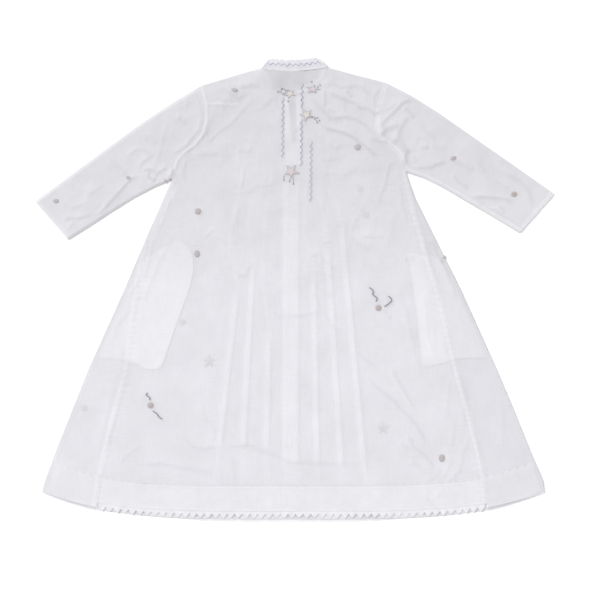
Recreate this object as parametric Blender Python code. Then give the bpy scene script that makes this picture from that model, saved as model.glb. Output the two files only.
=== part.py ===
"""Embroidered voile dress laid flat with its back uppermost.

Metres, +Z up, collar towards +Y. Every piece is given by x, the distance to the
right of the middle line, and down, the distance below the top of the collar.
"""

from collections import namedtuple

import bmesh
import bpy
import numpy as np

# Cloth and the whole dress
LENGTH = 0.928
WALL = 0.001
SEAM_GAP = 0.0003
SLANTED_SEAM_GAP = 0.0004
LAYER_GAP = 0.0003

# Hem: its lowest distance down, how far the corners lift, and the facings inside it
HEM_MIDDLE_X = -0.005
HEM_HALF_WIDTH = 0.504
FRONT_HEM_DOWN = LENGTH
FRONT_HEM_LIFT = 0.059
BACK_HEM_DOWN = 0.907
BACK_HEM_LIFT = 0.044
TOOTH_PITCH = 0.0152
TOOTH_DEPTH = 0.010
TOOTH_BAND = 0.007
BACK_FACING_DEPTH = 0.050
BACK_FACING_INSET = 0.002
BACK_FACING_TOP_DOWN, BACK_FACING_LOW_DOWN = 0.842, 0.890
FRONT_FACING_DEPTH = 0.066
FRONT_FACING_INSET = 0.0065
FRONT_FACING_TOP_DOWN, FRONT_FACING_LOW_DOWN = 0.815, 0.868
FRONT_FACING_CLEAR = 0.0055
ZIGZAG_DEPTH = 0.006
FACING_STATIONS = 16

# Pleats, slit and placket of the front
PLEAT_WIDTH = 0.011
BOX_PLEAT_WIDTH = 0.033
PLEAT_EDGE = 0.0006
PLEAT_RISE = 0.0006
PLEAT_START = 0.025
PLEAT_END_DOWN = 0.850
PLEAT_END_FADE = 0.030
SLIT_TOP_DOWN = 0.0725
SLIT_END_DOWN = 0.171
SLIT_NARROWS_DOWN = 0.110
SLIT_EDGES = (-0.011, 0.001)
SLIT_END_HALF_WIDTH = 0.0005
BELOW_SLIT_HALF_WIDTH = 0.004
PLACKET_TOP_DOWN = 0.0775
PLACKET_END_DOWN = 0.215
PLACKET_HALF_WIDTH = 0.017

# Collar and cuffs
COLLAR_DEPTH = 0.020
BACK_COLLAR_DEPTH = 0.0217
COLLAR_END_INSET = 0.001
SCALLOP_PITCH = 0.0135
SCALLOP_DEPTH = 0.0022
CUFF_HEM_DEPTH = 0.008
CUFF_HEM_RISE = 0.0004
CUFF_HEM_STEP = 0.0012

# Heights of the layers, from the floor up
INNER_PIECE_Z = WALL + LAYER_GAP
BACK_FACING_Z = INNER_PIECE_Z + WALL + LAYER_GAP
BACK_LAYER_Z = BACK_FACING_Z + 0.0001
BACK_LAYER_HEM_Z = BACK_FACING_Z + WALL + LAYER_GAP
SHOULDER_Z = INNER_PIECE_Z + 0.0001
HEM_RISE_FROM, HEM_RISE_TO = 0.790, 0.835
EDGE_TAPER = 0.022
NECK_TAPER_FROM, NECK_TAPER_TO = 0.060, 0.085
GORE_TIP_SHARE = 0.25

# Counts of rows and columns
ARMHOLE_ROWS = 9
UPPER_SIDE_ROWS = 4
GORE_ROWS = 17
GORE_COLUMNS = 6
BACK_COLUMNS = 31
SIDE_COLUMNS = 4
SLEEVE_STATIONS = 15
STATIONS_A_SCALLOP = 5
COLLAR_TURN_STATIONS = 2
FOLD_ANGLES = np.radians([60.0, 0.0, -60.0])
COLLAR_TURN_ANGLES = np.radians([-60.0, -20.0, 20.0, 60.0])

Point = namedtuple("Point", "x down")
Ridge = namedtuple("Ridge", "x0 down0 x1 down1 half_width height")
Pleat = namedtuple("Pleat", "x_top down_top x_low down_low width")
Bow = namedtuple("Bow", "share rise")

# Outlines of the seams and edges
LEFT_ARMHOLE = [
    Point(-0.187, 0.055),
    Point(-0.178, 0.090),
    Point(-0.177, 0.125),
    Point(-0.184, 0.150),
    Point(-0.200, 0.172),
    Point(-0.224, 0.190),
    Point(-0.237, 0.206),
    Point(-0.243, 0.226),
    Point(-0.247, 0.2445),
]
RIGHT_ARMHOLE = [
    Point(0.181, 0.050),
    Point(0.174, 0.080),
    Point(0.166, 0.108),
    Point(0.164, 0.138),
    Point(0.172, 0.163),
    Point(0.196, 0.178),
    Point(0.210, 0.193),
    Point(0.217, 0.211),
    Point(0.2215, 0.229),
]
LEFT_SIDE = [
    Point(-0.247, 0.2445),
    Point(-0.258, 0.267),
    Point(-0.285, 0.329),
    Point(-0.309, 0.385),
    Point(-0.343, 0.465),
    Point(-0.379, 0.545),
    Point(-0.415, 0.625),
    Point(-0.447, 0.705),
    Point(-0.479, 0.785),
    Point(-0.501, 0.845),
    Point(-0.509, 0.875),
]
RIGHT_SIDE = [
    Point(0.2215, 0.229),
    Point(0.228, 0.2505),
    Point(0.239, 0.2805),
    Point(0.263, 0.329),
    Point(0.291, 0.385),
    Point(0.331, 0.465),
    Point(0.367, 0.545),
    Point(0.403, 0.625),
    Point(0.437, 0.705),
    Point(0.469, 0.785),
    Point(0.495, 0.845),
    Point(0.499, 0.875),
]
LEFT_GORE_TOP = 0.385
BACK_LEFT_SEAM = [
    Point(-0.247, 0.2445),
    Point(-0.2575, 0.267),
    Point(-0.2845, 0.329),
    Point(-0.2985, 0.372),
    Point(-0.311, 0.441),
    Point(-0.319, 0.485),
    Point(-0.327, 0.545),
    Point(-0.337, 0.629),
    Point(-0.369, 0.745),
    Point(-0.390, 0.845),
    Point(-0.399, 0.905),
]
BACK_RIGHT_SEAM = [
    Point(0.2195, 0.229),
    Point(0.242, 0.325),
    Point(0.265, 0.405),
    Point(0.289, 0.485),
    Point(0.304, 0.551),
    Point(0.326, 0.641),
    Point(0.352, 0.733),
    Point(0.366, 0.789),
    Point(0.376, 0.845),
    Point(0.384, 0.905),
]
FRONT_LEFT_SEAM = [
    Point(-0.247, 0.2445),
    Point(-0.2575, 0.267),
    Point(-0.2845, 0.329),
    Point(-0.2985, 0.372),
    Point(-0.314, 0.441),
    Point(-0.326, 0.510),
    Point(-0.345, 0.605),
    Point(-0.362, 0.690),
    Point(-0.380, 0.775),
    Point(-0.393, 0.845),
    Point(-0.402, 0.925),
]
FRONT_RIGHT_SEAM = [
    Point(0.2195, 0.229),
    Point(0.244, 0.325),
    Point(0.266, 0.405),
    Point(0.290, 0.485),
    Point(0.312, 0.565),
    Point(0.334, 0.645),
    Point(0.356, 0.733),
    Point(0.370, 0.789),
    Point(0.380, 0.845),
    Point(0.388, 0.925),
]
LEFT_SHOULDER = [
    Point(-0.187, 0.055),
    Point(-0.151, 0.045),
    Point(-0.111, 0.035),
    Point(-0.067, 0.021),
]
RIGHT_SHOULDER = [
    Point(0.065, 0.018),
    Point(0.109, 0.031),
    Point(0.149, 0.041),
    Point(0.181, 0.050),
]
BACK_NECK = [
    Point(-0.067, 0.021),
    Point(-0.050, 0.0245),
    Point(-0.021, 0.0265),
    Point(0.009, 0.026),
    Point(0.042, 0.0225),
    Point(0.065, 0.018),
]
FRONT_NECK_LEFT = [
    Point(-0.067, 0.021),
    Point(-0.058, 0.042),
    Point(-0.038, 0.062),
    Point(-0.011, 0.0725),
]
FRONT_NECK_RIGHT = [
    Point(0.001, 0.0725),
    Point(0.028, 0.063),
    Point(0.051, 0.043),
    Point(0.065, 0.018),
]

# Directions of the collar band from its seam, at even steps along each part of the neck
LEFT_LEAN, RIGHT_LEAN, UPRIGHT = Point(0.63, -0.77), Point(-0.75, -0.66), Point(0.0, -1.0)
FRONT_LEFT_LEANS = [UPRIGHT, Point(0.15, -0.95), LEFT_LEAN]
FRONT_RIGHT_LEANS = [UPRIGHT, Point(-0.18, -0.95), RIGHT_LEAN]
BACK_LEANS = [
    LEFT_LEAN,
    Point(0.20, -0.97),
    Point(0.05, -1.0),
    UPRIGHT,
    Point(-0.06, -1.0),
    Point(-0.25, -0.96),
    RIGHT_LEAN,
]

# Corners of the cuffs, upper and lower
LEFT_CUFF = [Point(-0.5195, 0.2855), Point(-0.4525, 0.3625)]
RIGHT_CUFF = [Point(0.5195, 0.2735), Point(0.4495, 0.3515)]

# How far each sleeve bends up from straight, by its share of the way to the cuff
LEFT_SLEEVE_BOW = [
    Bow(0.0, 0.0),
    Bow(0.15, 0.0045),
    Bow(0.35, 0.0065),
    Bow(0.6, 0.0043),
    Bow(0.8, 0.0015),
    Bow(1.0, 0.0),
]
RIGHT_SLEEVE_BOW = [
    Bow(0.0, 0.0),
    Bow(0.15, 0.0065),
    Bow(0.3, 0.0078),
    Bow(0.5, 0.0055),
    Bow(0.75, 0.0030),
    Bow(1.0, 0.0),
]

# Soft folds of the upper layer that show from a step away
BACK_FOLDS = [
    Ridge(-0.211, 0.790, -0.090, 0.775, 0.024, 0.0040),
    Ridge(-0.095, 0.776, 0.020, 0.806, 0.022, 0.0045),
    Ridge(0.010, 0.806, 0.160, 0.812, 0.024, 0.0040),
    Ridge(-0.350, 0.812, -0.190, 0.832, 0.020, 0.0035),
    Ridge(0.120, 0.620, 0.270, 0.800, 0.026, 0.0050),
    Ridge(0.190, 0.640, 0.250, 0.720, 0.018, 0.0030),
    Ridge(0.285, 0.850, 0.330, 0.750, 0.022, 0.0050),
    Ridge(0.060, 0.110, 0.160, 0.172, 0.026, 0.0045),
    Ridge(0.080, 0.080, 0.165, 0.105, 0.020, 0.0030),
    Ridge(-0.170, 0.165, -0.105, 0.100, 0.024, 0.0035),
    Ridge(-0.210, 0.250, -0.130, 0.205, 0.022, 0.0030),
    Ridge(0.200, 0.260, 0.215, 0.420, 0.024, 0.0035),
    Ridge(-0.150, 0.400, -0.095, 0.440, 0.022, 0.0030),
    Ridge(0.060, 0.545, 0.120, 0.550, 0.020, 0.0025),
]
GORE_FOLDS = [
    Ridge(0.400, 0.840, 0.430, 0.730, 0.024, 0.0035),
    Ridge(0.330, 0.470, 0.380, 0.600, 0.020, 0.0030),
    Ridge(-0.400, 0.640, -0.430, 0.720, 0.022, 0.0025),
]
SLEEVE_FOLDS = [
    Ridge(-0.330, 0.230, -0.262, 0.226, 0.018, 0.0040),
    Ridge(-0.385, 0.305, -0.320, 0.240, 0.020, 0.0035),
    Ridge(-0.330, 0.205, -0.285, 0.197, 0.018, 0.0030),
    Ridge(-0.450, 0.318, -0.400, 0.316, 0.018, 0.0025),
    Ridge(0.185, 0.118, 0.240, 0.085, 0.018, 0.0040),
    Ridge(0.205, 0.165, 0.236, 0.115, 0.018, 0.0040),
    Ridge(0.240, 0.222, 0.335, 0.217, 0.018, 0.0035),
    Ridge(0.350, 0.277, 0.415, 0.280, 0.018, 0.0030),
    Ridge(0.465, 0.255, 0.485, 0.298, 0.018, 0.0030),
]

# Pressed pleats of the front, from left to right, with the box pleat in the middle
PLEATS = [
    Pleat(-0.117, 0.469, -0.153, 0.775, PLEAT_WIDTH),
    Pleat(-0.085, 0.413, -0.105, 0.769, PLEAT_WIDTH),
    Pleat(-0.053, 0.555, -0.058, 0.773, PLEAT_WIDTH),
    Pleat(-0.0075, 0.240, -0.0095, 0.805, BOX_PLEAT_WIDTH),
    Pleat(0.036, 0.437, 0.043, 0.805, PLEAT_WIDTH),
    Pleat(0.064, 0.373, 0.091, 0.805, PLEAT_WIDTH),
    Pleat(0.092, 0.337, 0.138, 0.820, PLEAT_WIDTH),
]
BOX_PLEAT = 3

# Outlines of the pocket bags
LEFT_POCKET = [
    Point(-0.236, 0.362),
    Point(-0.211, 0.384),
    Point(-0.204, 0.415),
    Point(-0.210, 0.452),
    Point(-0.224, 0.494),
    Point(-0.243, 0.546),
    Point(-0.258, 0.590),
    Point(-0.266, 0.613),
    Point(-0.277, 0.622),
    Point(-0.298, 0.622),
    Point(-0.330, 0.607),
    Point(-0.398, 0.600),
    Point(-0.330, 0.450),
    Point(-0.312, 0.410),
    Point(-0.280, 0.388),
]
RIGHT_POCKET = [
    Point(0.222, 0.392),
    Point(0.250, 0.392),
    Point(0.300, 0.420),
    Point(0.385, 0.600),
    Point(0.330, 0.602),
    Point(0.282, 0.614),
    Point(0.256, 0.616),
    Point(0.251, 0.590),
    Point(0.243, 0.520),
    Point(0.232, 0.440),
]


def place(x, down, z):
    """Points with y worked out from the distance below the top of the collar."""
    x, down, z = np.broadcast_arrays(np.asarray(x, float), down, z)
    return np.stack([x, LENGTH / 2 - down, z], axis=-1)


def smooth_step(value, low, high):
    """0 below low, 1 above high, and an even S between them."""
    t = np.clip((np.asarray(value, float) - low) / (high - low), 0, 1)
    return t * t * (3 - 2 * t)


def lengths_along(points):
    """The distance of each point from the first, along the line through them."""
    steps = np.hypot(*np.diff(points, axis=0).T)
    return np.concatenate([[0], np.cumsum(steps)])


def resampled(points, count):
    """count points evenly spaced along a smooth curve through the given points."""
    points = np.array(points, float)
    before = 2 * points[0] - points[1]
    after = 2 * points[-1] - points[-2]
    knots = np.vstack([before, points, after])
    t = np.linspace(0, 1, 12, endpoint=False)[:, None]
    dense = [
        0.5 * (2 * b + (c - a) * t + (2 * a - 5 * b + 4 * c - d) * t**2
               + (3 * b - a - 3 * c + d) * t**3)
        for a, b, c, d in zip(knots, knots[1:], knots[2:], knots[3:])
    ]
    dense = np.vstack([*dense, points[-1:]])
    along = lengths_along(dense)
    even = np.linspace(0, along[-1], count)
    return np.stack([np.interp(even, along, dense[:, i]) for i in (0, 1)], axis=1)


def x_at(points, down):
    """x of a seam or side edge at a distance down."""
    table = np.array(points, float)
    return np.interp(down, table[:, 1], table[:, 0])


def hem_down(x, lowest, lift):
    """The hem's curve: lowest in the middle and lifted by the fourth power towards the sides."""
    return lowest - lift * (np.abs(np.asarray(x) - HEM_MIDDLE_X) / HEM_HALF_WIDTH) ** 4


def ridge_heights(x, down, ridges):
    """Sum of soft ridges, each a rounded bar along a line, fading at its ends."""
    total = np.zeros(np.broadcast(x, down).shape)
    for ridge in ridges:
        along = np.array([ridge.x1 - ridge.x0, ridge.down1 - ridge.down0])
        length = np.hypot(*along)
        along /= length
        dx, dd = x - ridge.x0, down - ridge.down0
        s = (dx * along[0] + dd * along[1]) / length
        across = dx * along[1] - dd * along[0]
        fade = smooth_step(s, -0.15, 0.2) * (1 - smooth_step(s, 0.8, 1.15))
        total += ridge.height * fade * np.exp(-((across / ridge.half_width) ** 2) * 1.6)
    return total


def back_layer_under(x, down, ridges=()):
    """Height of the underside of the upper layer, raised over the hem facings and the folds."""
    rise = (BACK_LAYER_HEM_Z - BACK_LAYER_Z) * smooth_step(down, HEM_RISE_FROM, HEM_RISE_TO)
    return BACK_LAYER_Z + rise + ridge_heights(x, down, ridges)


def start_scene():
    """Empties the scene and returns a collection for the dress."""
    for old in list(bpy.data.objects):
        bpy.data.objects.remove(old, do_unlink=True)
    dress = bpy.data.collections.new("embroidered_dress")
    bpy.context.scene.collection.children.link(dress)
    return dress


def cloth(name, colour, roughness):
    """A plain cloth material."""
    material = bpy.data.materials.new(name)
    material.use_nodes = True
    shader = material.node_tree.nodes["Principled BSDF"]
    shader.inputs["Base Color"].default_value = (*colour, 1.0)
    shader.inputs["Roughness"].default_value = roughness
    shader.inputs["Metallic"].default_value = 0.0
    return material


def wall_between(dress, name, outer, inner, material, closed=False, left_out=()):
    """A closed wall between two grids of points, its faces found cell by cell.

    closed joins the last column to the first, as round a sleeve. left_out holds the
    cells, by row and column, where the wall is cut through.
    """
    rows, columns = outer.shape[:2]
    count = rows * columns
    last = columns if closed else columns - 1
    cells = [(r, c) for r in range(rows - 1) for c in range(last) if (r, c) not in left_out]
    skin, edges = [], {}
    for r, c in cells:
        d = (c + 1) % columns
        corners = (r * columns + c, (r + 1) * columns + c, (r + 1) * columns + d, r * columns + d)
        skin.append(corners)
        for a, b in zip(corners, corners[1:] + corners[:1]):
            if edges.pop((b, a), None) is None:
                edges[a, b] = True
    under = [tuple(count + i for i in reversed(face)) for face in skin]
    rim = [(b, a, count + a, count + b) for a, b in edges]
    mesh = bpy.data.meshes.new(name)
    points = np.concatenate([outer.reshape(-1, 3), inner.reshape(-1, 3)])
    mesh.from_pydata(points.tolist(), [], skin + under + rim)
    tidy = bmesh.new()
    tidy.from_mesh(mesh)
    loose = [v for v in tidy.verts if not v.link_faces]
    bmesh.ops.delete(tidy, geom=loose, context="VERTS")
    bmesh.ops.triangulate(tidy, faces=tidy.faces)
    if tidy.calc_volume(signed=True) < 0:
        bmesh.ops.reverse_faces(tidy, faces=tidy.faces)
    tidy.to_mesh(mesh)
    tidy.free()
    mesh.materials.append(material)
    dress.objects.link(bpy.data.objects.new(name, mesh))


def flat_piece(dress, name, outline, low, material):
    """A flat piece one wall thick, from a closed outline of x and down."""
    curve = bpy.data.curves.new(name + "_outline", "CURVE")
    curve.dimensions = "2D"
    curve.fill_mode = "BOTH"
    curve.extrude = WALL / 2
    spline = curve.splines.new("POLY")
    spline.points.add(len(outline) - 1)
    for point, (x, down) in zip(spline.points, outline):
        point.co = (x, LENGTH / 2 - down, 0, 1)
    spline.use_cyclic_u = True
    curve.materials.append(material)
    made = bpy.data.objects.new(name, curve)
    made.location = (0, 0, low + WALL / 2)
    dress.objects.link(made)


def row_downs(underarm, apex, hem):
    """Distances down of the rows below the underarm: first to the left gore's top, then to the hem."""
    upper = np.linspace(underarm, apex, UPPER_SIDE_ROWS + 1)[1:]
    lower = np.linspace(apex, hem, GORE_ROWS + 1)[1:]
    return np.concatenate([upper, lower])


def side_boundary(armhole, seam, lowest, lift):
    """The panel's edge from shoulder tip to hem: armhole stations, then stations down the seam."""
    upper = resampled(armhole, ARMHOLE_ROWS)
    hem = float(hem_down(seam[-1].x, lowest, lift))
    downs = row_downs(upper[-1, 1], LEFT_GORE_TOP, hem)
    lower = np.stack([x_at(seam, downs), downs], axis=1)
    lower[0, 0] = (lower[0, 0] + upper[-1, 0] + (lower[1, 0] - lower[0, 0])) / 2
    return np.vstack([upper, lower])


def patch(top, bottom, left, right, shares):
    """Points inside four boundaries, blended from all four (a Coons patch).

    top and bottom have a point for each column, left and right one for each row.
    """
    v = np.linspace(0, 1, len(left))[:, None, None]
    u = np.asarray(shares)[None, :, None]
    across = (1 - v) * top[None] + v * bottom[None]
    along = (1 - u) * left[:, None] + u * right[:, None]
    corners = (
        (1 - u) * (1 - v) * top[0] + u * (1 - v) * top[-1]
        + (1 - u) * v * bottom[0] + u * v * bottom[-1]
    )
    return across + along - corners


def shoulder_taper(x, down):
    """1 well inside the body, falling to 0 at the shoulder lines and the upper left side."""
    line = np.array(LEFT_SHOULDER + RIGHT_SHOULDER)
    below = down - np.interp(x, line[:, 0], line[:, 1])
    outside_neck = smooth_step(np.abs(x), NECK_TAPER_FROM, NECK_TAPER_TO)
    top = 1 - outside_neck * (1 - smooth_step(below, 0, EDGE_TAPER))
    inside = x - x_at(LEFT_SIDE, down)
    underarm = LEFT_SIDE[0].down
    above_gore = smooth_step(down, underarm, underarm + EDGE_TAPER)
    above_gore = above_gore * (1 - smooth_step(down, LEFT_GORE_TOP - 2 * EDGE_TAPER, LEFT_GORE_TOP))
    side = 1 - above_gore * (1 - smooth_step(inside, 0, EDGE_TAPER))
    return np.minimum(top, side)


def back_surface(x, down):
    """Underside and upper side of the back layer over the middle panel."""
    full = back_layer_under(x, down, BACK_FOLDS)
    low = SHOULDER_Z + (full - SHOULDER_Z) * shoulder_taper(x, down)
    return low, low + WALL


def panel_sides(left_seam, right_seam, lowest, lift):
    """A panel's left and right boundaries, each moved half a seam gap towards its inside."""
    left = side_boundary(LEFT_ARMHOLE, left_seam, lowest, lift)
    right = side_boundary(RIGHT_ARMHOLE, right_seam, lowest, lift)
    left[:, 0] += SEAM_GAP / 2
    right[:, 0] -= SEAM_GAP / 2
    return left, right


def panel_grid(top, shares, left, right, lowest, lift):
    """A panel's points: under its top edge, between its sides and above its curved hem."""
    hem_x = left[-1, 0] + shares * (right[-1, 0] - left[-1, 0])
    bottom = np.stack([hem_x, hem_down(hem_x, lowest, lift)], axis=1)
    top[0], top[-1] = left[0], right[0]
    bottom[0], bottom[-1] = left[-1], right[-1]
    return patch(top, bottom, left, right, shares)


def make_back_panel(dress, material):
    """The back: one piece from neck to hem between the armholes and the gore seams."""
    left, right = panel_sides(BACK_LEFT_SEAM, BACK_RIGHT_SEAM, BACK_HEM_DOWN, BACK_HEM_LIFT)
    top = resampled(LEFT_SHOULDER[:-1] + BACK_NECK + RIGHT_SHOULDER[1:], BACK_COLUMNS)
    shares = np.linspace(0, 1, BACK_COLUMNS)
    grid = panel_grid(top, shares, left, right, BACK_HEM_DOWN, BACK_HEM_LIFT)
    low, high = back_surface(grid[..., 0], grid[..., 1])
    outer = place(grid[..., 0], grid[..., 1], high)
    inner = place(grid[..., 0], grid[..., 1], low)
    wall_between(dress, "back_panel", outer, inner, material)
    return top


def pleat_middle(pleat, down):
    """x of a pleat's middle line at a distance down, straight on past its ends."""
    slope = (pleat.x_low - pleat.x_top) / (pleat.down_low - pleat.down_top)
    return pleat.x_top + slope * (down - pleat.down_top)


def slit_half_width(down):
    """Half the front slit's opening at a distance down, nearly closed at its end."""
    open_half = (SLIT_EDGES[1] - SLIT_EDGES[0]) / 2
    closing = smooth_step(down, SLIT_NARROWS_DOWN, SLIT_END_DOWN)
    return open_half + (SLIT_END_HALF_WIDTH - open_half) * closing


def pleat_line(pleat, offset):
    """A column along a pleat's edge: its x at a distance down, and where it has reached it."""

    def guide(down):
        x = pleat_middle(pleat, down) + offset
        reached = smooth_step(down, pleat.down_top - 4 * PLEAT_START, pleat.down_top)
        return x, reached

    return guide


def slit_line(pleat, side):
    """A column along one edge of the slit, and below it on down the box pleat."""

    def guide(down):
        upper = sum(SLIT_EDGES) / 2 + side * slit_half_width(down)
        lower = pleat_middle(pleat, down) + side * BELOW_SLIT_HALF_WIDTH
        below = smooth_step(down, SLIT_END_DOWN, SLIT_END_DOWN + 2 * PLEAT_START)
        reached = smooth_step(down, SLIT_TOP_DOWN, SLIT_TOP_DOWN + PLEAT_START / 3)
        return upper + (lower - upper) * below, reached

    return guide


def pleat_columns():
    """The columns of the pleats and the slit: each one's pleat, its line and if it is raised."""
    columns = []
    for index, pleat in enumerate(PLEATS):
        half = pleat.width / 2
        foot, crest = (-half, half), (-half + PLEAT_EDGE, half - PLEAT_EDGE)
        columns += [(pleat, pleat_line(pleat, foot[0]), 0), (pleat, pleat_line(pleat, crest[0]), 1)]
        if index == BOX_PLEAT:
            slit = len(columns)
            columns += [(pleat, slit_line(pleat, side), 1) for side in (-1, 1)]
        columns += [(pleat, pleat_line(pleat, crest[1]), 1), (pleat, pleat_line(pleat, foot[1]), 0)]
    return columns, slit


def make_front_panel(dress, material):
    """The front, under the back: flat below, with the pressed pleats raised on its inner side.

    Returns the columns of its top edge and the number of those left of the slit.
    """
    left, right = panel_sides(FRONT_LEFT_SEAM, FRONT_RIGHT_SEAM, FRONT_HEM_DOWN, FRONT_HEM_LIFT)
    columns, slit = pleat_columns()
    pleat_x = [guide(FRONT_HEM_DOWN)[0] for _, guide, _ in columns]
    left_x = np.linspace(left[-1, 0], pleat_x[0], SIDE_COLUMNS + 1)[:-1]
    right_x = np.linspace(pleat_x[-1], right[-1, 0], SIDE_COLUMNS + 1)[1:]
    hem_x = np.concatenate([left_x, pleat_x, right_x])
    shares = (hem_x - hem_x[0]) / (hem_x[-1] - hem_x[0])
    left_columns = SIDE_COLUMNS + slit + 1
    top = np.vstack([
        resampled(LEFT_SHOULDER[:-1] + FRONT_NECK_LEFT, left_columns),
        resampled(FRONT_NECK_RIGHT + RIGHT_SHOULDER[1:], len(hem_x) - left_columns),
    ])
    grid = panel_grid(top, shares, left, right, FRONT_HEM_DOWN, FRONT_HEM_LIFT)
    height = np.full(grid.shape[:2], WALL)
    for column, (pleat, guide, raised) in enumerate(columns, start=SIDE_COLUMNS):
        down = grid[:, column, 1]
        x, reached = guide(down)
        grid[:, column, 0] += reached * (x - grid[:, column, 0])
        pressed = smooth_step(down, pleat.down_top, pleat.down_top + PLEAT_START)
        pressed = pressed * (1 - smooth_step(down, PLEAT_END_DOWN - PLEAT_END_FADE, PLEAT_END_DOWN))
        height[:, column] += PLEAT_RISE * raised * pressed
    x, down = grid[..., 0], grid[..., 1]
    slit_rows = np.flatnonzero(down[:, left_columns - 1] < SLIT_END_DOWN)
    open_cells = {(row, left_columns - 1) for row in slit_rows}
    outer, inner = place(x, down, height), place(x, down, 0.0)
    wall_between(dress, "front_panel", outer, inner, material, left_out=open_cells)
    return top, left_columns


def fold_arc(edge, inward, radius, middle_z, wall):
    """Points round a fold at an edge: from its upper turn to its lower one, a wall inside it."""
    centre = edge + inward * radius
    reach = radius - wall
    plan = centre[None] - inward[None] * (reach * np.cos(FOLD_ANGLES))[:, None]
    return plan, middle_z + reach * np.sin(FOLD_ANGLES)


def make_gore(dress, name, side, back_seam, front_seam, first_row, material):
    """A side gore: one wedge folded round the side edge, back wall, fold and front wall.

    It starts a quarter of the way from the row before first_row.
    """
    direction = -1 if side is LEFT_SIDE else 1
    armhole = LEFT_ARMHOLE if side is LEFT_SIDE else RIGHT_ARMHOLE
    back = side_boundary(armhole, back_seam, BACK_HEM_DOWN, BACK_HEM_LIFT)[first_row - 1 :]
    front = side_boundary(armhole, front_seam, FRONT_HEM_DOWN, FRONT_HEM_LIFT)[first_row - 1 :]
    back[0] += (back[1] - back[0]) * GORE_TIP_SHARE
    front[0] += (front[1] - front[0]) * GORE_TIP_SHARE
    share_across = np.linspace(0, 1, GORE_COLUMNS)
    outer_rows, inner_rows = [], []
    for row, (seam_back, seam_front) in enumerate(zip(back, front)):
        seam_back = seam_back + [direction * SEAM_GAP / 2, 0]
        seam_front = seam_front + [direction * SEAM_GAP / 2, 0]
        last = row == len(back) - 1
        edge_down = (seam_back[1] + seam_front[1]) / 2
        if last:
            edge_down = hem_down(side[-1].x, FRONT_HEM_DOWN, FRONT_HEM_LIFT)
        edge = np.array([x_at(side, edge_down), edge_down])
        inward = np.array([-direction, 0.0])
        for rows, inset in ((outer_rows, 0.0), (inner_rows, WALL)):
            high_edge = back_layer_under(*edge, GORE_FOLDS) + WALL
            radius = high_edge / 2
            start = edge + inward * radius
            near = seam_back + (start - seam_back) * share_across[:, None]
            near_z = back_layer_under(near[:, 0], near[:, 1], GORE_FOLDS) + WALL - inset
            far = start + (seam_front - start) * share_across[:, None]
            arc, arc_z = fold_arc(edge, inward, radius, radius, inset)
            plan = np.vstack([near, arc, far])
            z = np.concatenate([near_z, arc_z, np.full(len(far), inset)])
            rows.append(place(plan[:, 0], plan[:, 1], z))
    wall_between(dress, name, np.array(outer_rows), np.array(inner_rows), material)


def make_sleeve(dress, name, armhole, cuff, bows, material):
    """A sleeve: a flattened tube from the armhole seam to the cuff, with a turned hem."""
    seam = resampled(armhole, ARMHOLE_ROWS)
    outwards = np.array(cuff).mean(axis=0) - seam.mean(axis=0)
    outwards /= np.hypot(*outwards)
    tangents = np.gradient(seam, axis=0)
    normals = np.stack([tangents[:, 1], -tangents[:, 0]], axis=1)
    normals *= np.sign(normals @ outwards)[:, None]
    normals /= np.hypot(*normals.T)[:, None]
    seam = seam + normals * SLANTED_SEAM_GAP
    along = lengths_along(seam)
    edge = np.array(cuff)
    end = edge[0] + (edge[1] - edge[0]) * (along / along[-1])[:, None]
    length = np.hypot(*(end.mean(axis=0) - seam.mean(axis=0)))
    across = np.array([abs(outwards[1]) * np.sign(outwards[0]), -abs(outwards[0])])
    hem_from = 1 - CUFF_HEM_DEPTH / length
    shares = np.linspace(0, hem_from - CUFF_HEM_STEP / length, SLEEVE_STATIONS - 2)
    shares = np.concatenate([shares, [hem_from, 1.0]])
    outer_rows, inner_rows = [], []
    for s in shares:
        plan = seam + (end - seam) * s
        plan = plan + across * np.interp(s, *np.array(bows).T)
        hem_rise = CUFF_HEM_RISE * (s >= hem_from)
        high = BACK_LAYER_Z + WALL + ridge_heights(plan[:, 0], plan[:, 1], SLEEVE_FOLDS)
        to_lower = (plan[1] - plan[0]) / np.hypot(*(plan[1] - plan[0]))
        to_upper = (plan[-2] - plan[-1]) / np.hypot(*(plan[-2] - plan[-1]))
        for rows, inset in ((outer_rows, 0.0), (inner_rows, WALL)):
            first, last = high[0] / 2, high[-1] / 2
            walls = plan.copy()
            walls[0] = plan[0] + to_lower * first
            walls[-1] = plan[-1] + to_upper * last
            lower_arc, lower_z = fold_arc(plan[-1], to_upper, last, last, inset)
            upper_arc, upper_z = fold_arc(plan[0], to_lower, first, first, inset)
            ring = np.vstack([walls, lower_arc, walls[::-1], upper_arc[::-1]])
            rise = hem_rise if inset == 0 else 0.0
            z = np.concatenate(
                [high - inset + rise, lower_z, np.full(len(plan), inset), upper_z[::-1]]
            )
            rows.append(place(ring[:, 0], ring[:, 1], z))
    wall_between(dress, name, np.array(outer_rows), np.array(inner_rows), material, closed=True)


def scallop(along):
    """Extra depth of the collar's free edge: a row of small rounded scallops."""
    return SCALLOP_DEPTH * (np.abs(np.sin(np.pi * along / SCALLOP_PITCH)) - 0.5)


def cut_line(line, x_from, x_to):
    """The part of a line, whose x grows all along, between two x."""
    inside = line[(line[:, 0] > x_from) & (line[:, 0] < x_to)]
    ends = [(x, np.interp(x, line[:, 0], line[:, 1])) for x in (x_from, x_to)]
    return np.vstack([ends[:1], inside, ends[1:]])


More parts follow.
